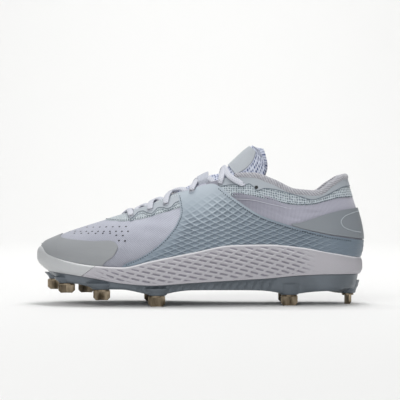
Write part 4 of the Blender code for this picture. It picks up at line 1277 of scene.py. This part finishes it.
def eyelet(number, side, out):
    """Middle of a lace hole and the direction out of it"""
    share, drop, panelled = eyelet_rows[number]
    angle = float(angle_at(share))
    turn = side_turn(angle, side)
    level = float(rise_at(turn, INSTEP_HEIGHT * (float(upper["top"](angle)) - drop)))
    film = FILM_SHEET[0] + panelled * SADDLE_AT_HOLE
    return skin(turn, level, out + film), normal(turn, level)


def brink(share, side):
    """Place of a lace on the throat's edge"""
    turn = side_turn(float(angle_at(share)), side)
    return skin(turn, 1.0, LACE_THICK / 2 + LACE_CLEAR + FILM_SHEET[0]), normal(turn, 1.0)


def crest(share, lift=0.0):
    """Place of a lace over the tongue's middle line"""
    x = LENGTH * (share - 0.5)
    step = 0.004
    z = np.interp(x, ridge[:, 0], ridge[:, 2])
    rise = np.interp(x + step, ridge[:, 0], ridge[:, 2]) - np.interp(x - step, ridge[:, 0], ridge[:, 2])
    out = unit(np.array([-rise, 0, 2 * step]))
    y = BALL_WIDTH * float(upper["ridge"](angle_at(share)))
    return np.array([x, y, z]) + out * (LACE_THICK / 2 + LACE_CLEAR + lift), out


def slide(share, side, reach):
    """Place of a lace between the middle line and the edge of the throat"""
    top, up = crest(share)
    low, out = brink(share, side)
    low = low - out * (WALL + SEAT)
    return top * (1 - reach) + low * reach + unit(up + out) * BALL_WIDTH * LACE_BULGE, unit(up + out)


def under(share, side):
    """Where a lace goes under the throat's edge"""
    turn = side_turn(float(angle_at(share)), side)
    return skin(turn, 0.93, -(WALL + LACE_TUCK)), normal(turn, 0.96)


def lace_run(name, stops):
    """One lace through places that each have a point and the way its face looks"""
    shares = np.linspace(0, 1, 12 * (len(stops) - 1) + 1)
    points = bent([p for p, _ in stops], shares)
    ups = unit(bent([u for _, u in stops], shares))
    return tube_piece(name, points, ups, LACE_WIDTH / 2, LACE_THICK / 2, 14, 0.8)


def into_hole(number, side):
    """Last stops of a run: flat over the wall, then down through the hole"""
    on, out = eyelet(number, side, LACE_THICK / 2 + LACE_AT_HOLE)
    down, _ = eyelet(number, side, -WALL)
    edge_up, _ = brink(eyelet_rows[number][0], side)
    tip = unit(edge_up - on)
    return [(down, tip), (on, unit(out + 0.5 * tip))]


bar_share = eyelet_rows[0][0]
bar_bow = 0.022  # how far the bar bends towards the toe, of LENGTH
bar_lift = 0.0016
bar_edge = bar_share - 0.4 * bar_bow
bar_over = [brink(bar_edge, -1), crest(bar_share - bar_bow, bar_lift), brink(bar_edge, 1)]
bar_stops = into_hole(0, -1) + bar_over + into_hole(0, 1)[::-1]
finish(lace_run("lace_over_toe", bar_stops), lace_braid, "lace_bar")

for number in range(0, 5):
    here = eyelet_rows[number][0]
    ahead = eyelet_rows[number + 1][0] - here
    runs = []
    for side in (-1, 1):
        lift = LACE_CROSS * (1 + side) / 2
        if number == 0:
            stops = [
                under(here + 0.15 * ahead, side), slide(here + 0.25 * ahead, side, 0.66),
                crest(here + 0.45 * ahead, lift),
                slide(here + 0.75 * ahead, -side, 0.62), under(here + 0.95 * ahead, -side),
            ]
        else:
            stops = into_hole(number, side)
            stops += [brink(here + 0.08 * ahead, side), crest(here + 0.22 * ahead, lift)]
            if number < 4:
                stops += [slide(here + 0.60 * ahead, -side, 0.62), under(here + 0.85 * ahead, -side)]
            else:
                stops += [brink(here + 0.45 * ahead, -side)] + into_hole(number + 1, -side)[::-1]
        runs.append(lace_run(f"lace_{number}_{side}", stops))
    made = joined(f"lace_pair_{number}", runs)
    if number:
        finish(made, lace_braid, f"lace_cross_{number}")
    else:
        finish(made, lace_braid, slot="lace_bar")


def to_middle(ring, share):
    """A ring drawn in towards the shoe's middle line: 0 leaves it, 1 folds it flat on the line"""
    return ring * (1 - share) + (ring + ring[::-1]) * (share / 2)


# Insole
INSOLE_DISH = 0.0012  # how much lower its middle lies than its rim
insole_turns = even((0.0, WHOLE), 281)


def insole_ring(height, out):
    """Ring round the inside of the upper, above its bed"""
    level = SOLE_HEIGHT * sole["bed"](angle_side(insole_turns)[0]) + height
    ring = skin(insole_turns, rise_at(insole_turns, level), out)
    ring[:, 2] = level
    return ring


in_low = insole_ring(SEAT, -(WALL + 5 * SEAT))
in_high = insole_ring(INSOLE_THICK, -(WALL + 4 * SEAT))
insole_rings = [to_middle(in_low, 1.0), to_middle(in_low, 0.5), in_low, in_high]
for share in (0.06, 0.14, 0.25, 0.4, 0.6, 0.8, 1.0):
    ring_here = to_middle(in_high, share)
    ring_here[:, 2] -= INSOLE_DISH * (1 - (1 - share) ** 3)
    insole_rings.append(ring_here)
insole = laid("insole_bed", insole_rings, np.array(insole_rings)[..., :2])
weld(insole, FOLD_CLOSE)
smooth(insole)
finish(insole, insole_cloth, "insole")


# Sole: midsole and toe bumper are one form, parted by the slanted seam
def middle_in(angle):
    return 0.010 * np.sin(angle) ** 2


def ring(turns, amount, height):
    return inset(turns, BALL_WIDTH * amount(angle_side(turns)[0]), height)


def to_lines(low, high, share):
    return lambda angle: (1 - share) * line(low)(angle) + share * line(high)(angle)


SIDE_FULLEST = 0.45  # of the midsole's height


def sole_profile(share):
    """How far in from the edge the midsole's side is, at a share of its height"""
    below = max(1 - share / SIDE_FULLEST, 0.0)
    above = max(share - SIDE_FULLEST, 0.0) / (1 - SIDE_FULLEST)
    return lambda angle: (
        sole["low_in"](angle) * below ** 2 + middle_in(angle) * (1 - below) * (1 - above ** 2)
        + sole["rim_in"](angle) * above ** 4
    )


PIT_SIZE = (7.8 * MM, 2.1 * MM)
PIT_STEP = (4.6 * MM, 2.85 * MM)  # from a pit to the next one up and back
PIT_NEXT = (9.3 * MM, -2.65 * MM)  # and to the next one down and back
PIT_DEPTH = 1.1 * MM


def pits(run, height):
    """Slanted dashes at the points of a slanted lattice"""
    area = PIT_STEP[0] * PIT_NEXT[1] - PIT_STEP[1] * PIT_NEXT[0]
    first = (run * PIT_NEXT[1] - height * PIT_NEXT[0]) / area
    second = (height * PIT_STEP[0] - run * PIT_STEP[1]) / area
    lean = math.atan2(PIT_NEXT[1], PIT_NEXT[0])
    found = np.zeros(run.shape)
    for i in (-0.5, 0.5):
        for j in (-0.5, 0.5):
            a = np.rint(first + i)
            b = np.rint(second + j)
            du = run - a * PIT_STEP[0] - b * PIT_NEXT[0]
            dv = height - a * PIT_STEP[1] - b * PIT_NEXT[1]
            along = du * math.cos(lean) + dv * math.sin(lean)
            over = dv * math.cos(lean) - du * math.sin(lean)
            inside = softstep(PIT_SIZE[0] / 2 - np.abs(along), 0, 0.8 * MM)
            inside = inside * softstep(PIT_SIZE[1] / 2 - np.abs(over), 0, 0.6 * MM)
            found = np.maximum(found, inside)
    return found


sole_turns = even((0.0, WHOLE), 721)
sole_angles = angle_side(sole_turns)[0]
sole_shares = share_at(sole_angles)
side_steps = np.concatenate([[0, 0.012, 0.03, 0.05], np.linspace(0.07, 0.94, 66), [0.955, 0.97, 0.985, 1.0]])
side_rings = np.array([ring(sole_turns, sole_profile(s), to_lines("parting", "rim", s)) for s in side_steps])
half_run = girth(sole_turns)
toe_run = np.minimum(half_run, half_run[-1] - half_run)
middle_line = 0.5 * (line("parting")(sole_angles) + line("rim")(sole_angles))
run_grid = np.broadcast_to(toe_run, side_rings.shape[:2])
height_grid = side_rings[..., 2] - 0.6 * middle_line
side_grid = np.broadcast_to(side_steps[:, None], run_grid.shape)
share_grid = np.broadcast_to(sole_shares, run_grid.shape)
tall_here = line("rim")(sole_angles) - line("parting")(sole_angles)
from_top = (1 - side_grid) * tall_here
from_low = side_grid * tall_here
pit_mask = pits(run_grid, height_grid)
pit_mask = pit_mask * softstep(from_top, 1.6 * MM, 2.6 * MM) * softstep(from_low, 1.2 * MM, 2.4 * MM)
pit_mask = pit_mask * softstep(share_grid, 0.17, 0.24) * (1 - softstep(share_grid, 0.79, 0.86))
pit_deep = PIT_DEPTH * pit_mask * (0.2 + 0.8 * softstep(from_top, 3.0 * MM, 9.0 * MM))
side_rings = side_rings - grid_normals(side_rings) * pit_deep[..., None]


TRAY_IN = 0.052  # distance of the plate's tray from the edge, of BALL_WIDTH
LIP_GAP = 0.0002  # between the midsole's lip and the upper


def rim_seat():
    """Inside of the lip, against the upper"""
    level = line("rim")(sole_angles) - LIP_GAP
    seat = skin(sole_turns, rise_at(sole_turns, level), LIP_GAP)
    seat[:, 2] = level
    return seat


def bed_seat():
    """Foot of the upper's wall, where the flat bed starts"""
    level = line("bed")(sole_angles) + 2 * SEAT
    seat = skin(sole_turns, rise_at(sole_turns, level), LIP_GAP)
    seat[:, 2] = level - 2 * SEAT
    return seat


def tray_floor(angle):
    """Thickness of the plate's floor"""
    return np.minimum(PLATE_THICK, 0.45 * (line("parting")(angle) - line("floor")(angle)))


tray_ring = ring(sole_turns, lambda a: TRAY_IN + SEAT / BALL_WIDTH + sole["low_in"](a), line("parting"))
tray_low = ring(
    sole_turns, lambda a: TRAY_IN + SEAT / BALL_WIDTH + sole["low_in"](a),
    lambda a: line("floor")(a) + tray_floor(a) + SEAT,
)
under_rings = [to_middle(tray_low, 1.0), tray_low, tray_ring]
seat_top = rim_seat()
seat_low = bed_seat()
sole_rings = np.array(under_rings + list(side_rings) + [seat_top, seat_low, to_middle(seat_low, 1.0)])
extra = len(under_rings)
# Painted highlight along the rim and on the lower lip of each pit, painted shade in the pits
lip_value = np.zeros(sole_rings.shape[:2])
lip_value[extra:extra + len(side_steps)] = softstep(-from_top, -1.6 * MM, -0.7 * MM)
lip_value[extra + len(side_steps)] = 1.0
pit_value = np.zeros(sole_rings.shape[:2])
pit_value[extra:extra + len(side_steps)] = pit_mask
lip_value[extra:extra + len(side_steps)] += 0.9 * np.roll(pit_mask, -2, axis=0) * (1 - pit_mask) * side_grid
lip_value = np.clip(lip_value, 0, 1)


def sole_form(name):
    """The whole sole ring by ring, with the painted highlight of its lip and the painted shade of its pits
    marked for the material
    """
    run_chart = np.broadcast_to(toe_run, sole_rings.shape[:2])
    made = laid(name, sole_rings, np.stack([run_chart, sole_rings[..., 2]], -1))
    paint(made, "lip", lip_value)
    paint(made, "pit", pit_value)
    return weld(made, FOLD_CLOSE)


SEAM_FOOT = (0.1350, 0.200)  # the slanted seam, as shares of LENGTH and INSTEP_HEIGHT
SEAM_TOP = (0.1925, 0.306)


def part_at_seam(made, keep_front):
    """Cuts the sole along the slanted seam and keeps one part"""
    foot = np.array([LENGTH * (SEAM_FOOT[0] - 0.5), 0, INSTEP_HEIGHT * SEAM_FOOT[1]]) + SHIFT
    top = np.array([LENGTH * (SEAM_TOP[0] - 0.5), 0, INSTEP_HEIGHT * SEAM_TOP[1]]) + SHIFT
    along = unit(top - foot)
    across = np.array([along[2], 0, -along[0]])
    if not keep_front:
        foot = foot + across * SEAT
    return edit(made, lambda: bpy.ops.mesh.bisect(
        plane_co=foot, plane_no=across, use_fill=True, clear_outer=keep_front, clear_inner=not keep_front,
    ))


bumper = part_at_seam(sole_form("rubber_bumper"), True)
midsole = part_at_seam(sole_form("foam_midsole"), False)
smooth(bumper, 40)
smooth(midsole, 45)
finish(bumper, bumper_rubber, "toe_bumper")
finish(midsole, midsole_foam, "midsole")

# Plate under the midsole
plate_turns = even((0.0, WHOLE), 501)
plate_angles = angle_side(plate_turns)[0]


def floor_height(x):
    return line("floor")(angle_at(x / LENGTH + 0.5))


def stud_place(row):
    """Middle of a stud, heights of its tip and foot, its turn and the size of its boss"""
    _, share, offset, tip_share, degrees, size = row
    x = LENGTH * (share - 0.5)
    tip = SOLE_HEIGHT * tip_share
    base = min(tip + 0.010, float(floor_height(x)) - 0.002)
    return x, BALL_WIDTH * offset, tip, base, math.radians(degrees), size


SWELL_SIZE = (0.0172, 0.0118)  # reach along and across the shoe
SWELL_SHARE = 0.92  # of the height of a boss


def boss_flare(x, y):
    """How far the plate's underside swells down round the studs"""
    found = np.zeros(np.shape(x))
    for row in stud_rows:
        sx, sy, _, base, _, size = stud_place(row)
        tall = float(floor_height(sx)) - base
        off = ((x - sx) / (SWELL_SIZE[0] * size)) ** 2 + ((y - sy) / (SWELL_SIZE[1] * size)) ** 2
        found = np.maximum(found, SWELL_SHARE * tall * np.exp(-off))
    return found


FLUTE_STEP = 7.0 * MM
FLUTE_DEPTH = 2.4 * MM
RIB_STEP = 0.0150  # cross ribs of the underside
RIB_DEPTH = 0.0011
RIB_FADE = 0.0006  # height of a swell at which the ribs have faded out


def flute(angle, level):
    """Depth of the slanted flutes down the plate's sides, from the ball to the heel studs"""
    share = share_at(angle)
    reach = softstep(share, 0.29, 0.32) * (1 - softstep(share, 0.72, 0.74))
    wave = np.abs(np.sin(math.pi * (share * LENGTH / FLUTE_STEP - 0.45 * level)))
    return FLUTE_DEPTH * reach * wave ** 0.7 * math.sin(math.pi * min(1.08 * level, 1.0)) ** 0.6


plate_profile = curve(
    [0, 0.03, 0.12, 0.25, 0.58, 0.80, 0.92, 1], [0.052, 0.046, 0.036, 0.028, 0.020, 0.015, 0.012, 0.012],
)
plate_side = []
for level in np.concatenate([[0, 0.03, 0.07], np.linspace(0.12, 1, 13)]):
    amount = BALL_WIDTH * (float(plate_profile(level)) + sole["low_in"](plate_angles))
    side_ring = inset(plate_turns, amount + flute(plate_angles, level), to_lines("floor", "parting", level))
    side_ring[:, 2] -= SEAT * (level > 0.9)
    side_ring[:, 2] -= boss_flare(side_ring[:, 0], side_ring[:, 1]) * (1 - level) ** 2
    plate_side.append(side_ring)
plate_under = []
tray_edge = BALL_WIDTH * (TRAY_IN + sole["low_in"](plate_angles))
under_shares = (
    1.0, 0.93, 0.86, 0.79, 0.72, 0.65, 0.58, 0.51, 0.44, 0.37, 0.31, 0.25, 0.20, 0.15, 0.11, 0.07, 0.03,
)
for share in under_shares:
    under_ring = to_middle(inset(plate_turns, tray_edge, line("floor")), share)
    x, y = under_ring[:, 0], under_ring[:, 1]
    swell = boss_flare(x, y)
    sunk = RIB_DEPTH * softstep(share, 0.08, 0.20) * softstep(ripple(x / RIB_STEP), 0.10, 0.20)
    under_ring[:, 2] = floor_height(x) + sunk * (1 - softstep(swell, 0.0, RIB_FADE)) - swell
    plate_under.append(under_ring)
tray_top = inset(plate_turns, tray_edge, line("parting"))
tray_top[:, 2] -= SEAT
tray_bottom = inset(plate_turns, tray_edge, lambda a: line("floor")(a) + tray_floor(a))
plate_rings = plate_under + plate_side + [tray_top, tray_bottom, to_middle(tray_bottom, 1.0)]
plate = laid("plate_tray", plate_rings, np.array(plate_rings)[..., :2])
weld(plate, FOLD_CLOSE)
smooth(plate, 30)


def frustum(name, x, y, turn, rings):
    """Oval boss through rings given as half length, half depth and height"""
    around = np.linspace(0, WHOLE, 33)
    turned = np.array([[math.cos(turn), -math.sin(turn)], [math.sin(turn), math.cos(turn)]])
    found = []
    for half_x, half_y, level in rings:
        flat = np.stack([half_x * np.cos(around), half_y * np.sin(around)], -1) @ turned.T
        found.append(np.concatenate([flat + (x, y), np.full((33, 1), level)], -1))
    return smooth(closed(laid(name, found)), 40)


BOSS_HALF = (0.0086, 0.0073)  # half length and half depth of its foot
BOSS_MIDDLE = 0.0001  # half size of the ring that closes an end
BOSS_EDGE = (0.0006, 0.0005)  # width and height of the chamfer round its foot
BOSS_SUNK = 0.0006  # how far it goes into the plate's floor
STUD_EDGE = 0.00035
boss_pieces = [plate]
for row in stud_rows:
    x, y, tip, base, turn, size = stud_place(row)
    top = float(floor_height(x)) + BOSS_SUNK
    tall = top - base
    long, deep = BOSS_HALF[0] * size, BOSS_HALF[1] * size
    wall_top = top + 0.45 * (float(line("parting")(angle_at(row[1]))) - top)
    rings = [
        (BOSS_MIDDLE, BOSS_MIDDLE, base),
        (long - BOSS_EDGE[0], deep - BOSS_EDGE[0], base), (long, deep, base + BOSS_EDGE[1]),
        (long * 1.05, deep * 1.04, base + 0.35 * tall), (long * 1.20, deep * 1.14, base + 0.7 * tall),
        (long * 1.42, deep * 1.30, top), (long * 1.62, deep * 1.46, wall_top),
        (BOSS_MIDDLE, BOSS_MIDDLE, wall_top),
    ]
    boss_pieces.append(frustum(row[0] + "_boss", x, y, turn, rings))
plate = joined("moulded_plate", boss_pieces)
finish(plate, plate_tpu, "plate")

# Studs: the frame's blades with their edges rounded
for row in stud_rows:
    name = row[0]
    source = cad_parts[name]
    blade = new_object(name + "_steel", source.data.copy())
    edit(
        blade,
        lambda: bpy.ops.mesh.remove_doubles(threshold=CLOSE),
        lambda: bpy.ops.mesh.dissolve_limited(angle_limit=math.radians(1)),
    )
    modify(blade, "BEVEL", width=STUD_EDGE, segments=2, limit_method="ANGLE", angle_limit=0.5)
    smooth(blade, 30)
    finish(blade, steel, name)


# Stitches, holes and rims laid on the upper
def template(kind, **settings):
    """Vertices and faces of a small primitive"""
    clear()
    getattr(bpy.ops.mesh, "primitive_" + kind + "_add")(**settings)
    made = bpy.context.object
    vertices = np.array([v.co[:] for v in made.data.vertices])
    faces = [list(f.vertices) for f in made.data.polygons]
    bpy.data.objects.remove(made)
    return vertices, faces


def scatter(name, shape, centres, alongs, outs, sizes, material_used, slot):
    """One mesh of copies of a small shape, turned to lie along a path"""
    vertices, faces = shape
    across = unit(np.cross(outs, alongs))
    alongs = np.cross(across, outs)
    count = len(vertices)
    basis = np.stack([alongs, across, outs], -2) * np.asarray(sizes)[:, None]
    points = centres[:, None, :] + vertices[None] @ basis
    mesh = bpy.data.meshes.new(name)
    every = [[v + i * count for v in face] for i in range(len(centres)) for face in faces]
    mesh.from_pydata((points.reshape(-1, 3) + SHIFT).tolist(), [], every)
    return finish(smooth(new_object(name, mesh), 60), material_used, slot=slot)


STITCH = (0.72 * MM, 0.46 * MM, 0.36 * MM)  # half length, width and height
stitch_shape = template("uv_sphere", segments=6, ring_count=4, radius=1)
disc_shape = template("circle", vertices=12, radius=1, fill_type="NGON")
rim_shape = template("torus", major_segments=16, minor_segments=6, major_radius=1.0, minor_radius=0.13)


def spaced(path, pitch):
    """Points at an even pitch along a path"""
    run = lengths(path)
    at = np.arange(pitch / 2, run[-1], pitch)
    return np.stack([np.interp(at, run, path[:, k]) for k in range(3)], -1)


def stitched(name, outline, out, pitch):
    """Stitches along a line drawn from the side, on both sides of the shoe"""
    centres, alongs, outs = [], [], []
    for _, side in sides:
        turn, rise = trace(outline, 300, side)
        path = skin(turn, rise, out)
        facing = normal(turn, rise)
        places = spaced(path, pitch)
        nearest = np.array([np.argmin(np.linalg.norm(path - p, axis=-1)) for p in places])
        centres.append(places)
        alongs.append(unit(np.gradient(path, axis=0))[nearest])
        outs.append(facing[nearest])
    centres, alongs, outs = (np.concatenate(found) for found in (centres, alongs, outs))
    return scatter(name, stitch_shape, centres, alongs, outs, STITCH, dark_thread, "upper")


def offset_outline(outline, by_x, by_z):
    return [(x + by_x, z + by_z) for x, z in outline]


front_edge = saddle_high[1:9]
back_edge = saddle_high[12:]
stitched("saddle_front_stitches", offset_outline(front_edge, 0.0050, -0.003), STITCH_OUT, 2.3 * MM)
stitched("saddle_back_stitches", offset_outline(back_edge, -0.004, -0.016), STITCH_OUT, 2.3 * MM)
stitched("throat_stitches", offset_outline(throat_low, 0.0, 0.006), THROAT_STITCH_OUT, 2.2 * MM)
rear_line = [
    (0.593, 0.830), (0.631, 0.830), (0.660, 0.825), (0.711, 0.796), (0.771, 0.763), (0.809, 0.756),
    (0.847, 0.763), (0.886, 0.786), (0.926, 0.809), (0.955, 0.812),
]
stitched("rear_mesh_stitches", rear_line, THROAT_STITCH_OUT, 2.2 * MM)

# Perforations of the vamp in rows: first and last hole as x and z shares, and their number
HOLE_RADIUS = 0.88 * MM
HOLE_OUT = 0.00012  # a dark disc that lies on the knit
hole_rows = [
    ((0.098, 0.578), (0.280, 0.591), 10), ((0.085, 0.551), (0.287, 0.556), 12),
    ((0.121, 0.538), (0.233, 0.541), 6), ((0.252, 0.526), (0.292, 0.524), 3),
    ((0.261, 0.489), (0.279, 0.486), 2), ((0.262, 0.449), (0.262, 0.449), 1),
]
places = []
for first, last, number in hole_rows:
    for k in range(number):
        t = k / max(number - 1, 1)
        places.append((first[0] + (last[0] - first[0]) * t, first[1] + (last[1] - first[1]) * t))
centres, outs = [], []
for _, side in sides:
    turn, rise = spot(np.array(places)[:, 0], np.array(places)[:, 1], side)
    centres.append(skin(turn, rise, HOLE_OUT))
    outs.append(normal(turn, rise))
centres = np.concatenate(centres)
outs = np.concatenate(outs)
lengthways = np.broadcast_to(np.array([1.0, 0, 0]), centres.shape)
scatter("vamp_perforations", disc_shape, centres, lengthways, outs, (HOLE_RADIUS,) * 3, hole_dark, "upper")

# Lace holes: a dark opening in a pressed rim
EYELET_OUT = 0.00008  # above the film
centres, outs = [], []
for number in range(len(eyelet_rows)):
    for side in (-1, 1):
        point, out = eyelet(number, side, EYELET_OUT)
        centres.append(point)
        outs.append(out)
centres = np.array(centres)
outs = np.array(outs)
lengthways = np.broadcast_to(np.array([1.0, 0, 0]), centres.shape)
rim_size = (EYELET_RADIUS * 1.10,) * 3
scatter("lace_holes", disc_shape, centres, lengthways, outs, (EYELET_RADIUS,) * 3, hole_dark, "upper")
scatter("lace_hole_rims", rim_shape, centres, lengthways, outs, rim_size, eyestay_film, "upper")

# Raised outline of the heel oval
OVAL_HALF = (0.00042, 0.00045)  # half width and height of the raised line
oval_points = [
    (0.985, 0.702), (0.970, 0.695), (0.955, 0.684), (0.934, 0.660), (0.924, 0.625), (0.929, 0.592),
    (0.949, 0.565), (0.968, 0.552), (0.985, 0.546),
]
for side_name, side in sides:
    turn, rise = trace(oval_points, 80, side)
    path = skin(turn, rise, COUNTER_SHEET[0])
    made = tube_piece("heel_oval_" + side_name, path, normal(turn, rise), *OVAL_HALF, 8)
    finish(made, eyestay_film, slot="heel_counter")

# Camera, light and floor
PHOTO_PIXELS = 400
CAMERA_DISTANCE = 1.430
CAMERA_HEIGHT = 0.0947
PIXEL_SIZE = 0.000914  # of the shoe's middle plane
SENSOR = 36

view_camera = bpy.data.cameras.new("camera")
camera = new_object("camera", view_camera)
bpy.context.scene.camera = camera
camera.location = (0.0, -CAMERA_DISTANCE, CAMERA_HEIGHT)
camera.rotation_euler = (math.pi / 2, 0, 0)
view_camera.sensor_width = SENSOR
view_camera.lens = SENSOR * CAMERA_DISTANCE / (PHOTO_PIXELS * PIXEL_SIZE)
view_camera.clip_start = 0.05

# Floor that sweeps up into a backdrop behind the shoe
SWEEP_START = 1.9
SWEEP_RADIUS = 1.2
FLOOR_HALF = 5.0
BACKDROP_HALF = 1.3
sweep = [(-4.0, 0.0), (SWEEP_START, 0.0)]
for degrees in range(5, 91, 5):
    turned = math.radians(degrees)
    sweep.append((SWEEP_START + SWEEP_RADIUS * math.sin(turned), SWEEP_RADIUS * (1 - math.cos(turned))))
sweep.append((SWEEP_START + SWEEP_RADIUS, 4.0))
reach = [FLOOR_HALF if z < TINY else BACKDROP_HALF for y, z in sweep]
floor = laid("floor", [[(x, y, z) for x in (-wide, 0.0, wide)] for wide, (y, z) in zip(reach, sweep)] - SHIFT)
smooth(floor, 30)
floor.data.materials.append(material("floor_paint", "#E9E9E8", 0.9)[0])

world = bpy.data.worlds.new("studio")
bpy.context.scene.world = world
world.use_nodes = True
sky = world.node_tree
WORLD_STRENGTH = 0.37
ahead_left = (-0.74, -0.67, 0.05)  # a dark screen stands there, so that the steel has something to reflect
around = node(sky, "TexCoord")["Generated"]
facing = node(sky, "VectorMath", {0: around, 1: ahead_left}, operation="DOT_PRODUCT")["Value"]
screen = node(sky, "MapRange", {"Value": facing, "From Min": 0.60, "From Max": 0.92})["Result"]
shade = node(sky, "Mix", {0: screen, 6: srgb("#F9F9F9"), 7: srgb("#4A4A4C")}, **BLEND)[2]
sky.links.new(shade, sky.nodes["Background"].inputs["Color"])
sky.nodes["Background"].inputs["Strength"].default_value = WORLD_STRENGTH


def soft_light(name, place, target, size, power):
    """A rectangular lamp that looks at a target"""
    lamp = bpy.data.lights.new(name, "AREA")
    lamp.shape = "RECTANGLE"
    lamp.size, lamp.size_y = size
    lamp.energy = power
    made = new_object(name, lamp)
    made.location = place
    made.rotation_euler = (Vector(target) - Vector(place)).to_track_quat("-Z", "Y").to_euler()


shoe_middle = (0, 0, 0.05)
soft_light("top_light", (0.1, 0.05, 1.4), shoe_middle, (0.7, 0.4), 7.5)
soft_light("front_light", (-0.5, -1.7, 1.1), shoe_middle, (2.0, 1.4), 23)
soft_light("backdrop_light", (0, 1.1, 2.3), (0, 2.9, 0.3), (2.0, 1.0), 50)

bpy.context.scene.view_settings.view_transform = "Standard"
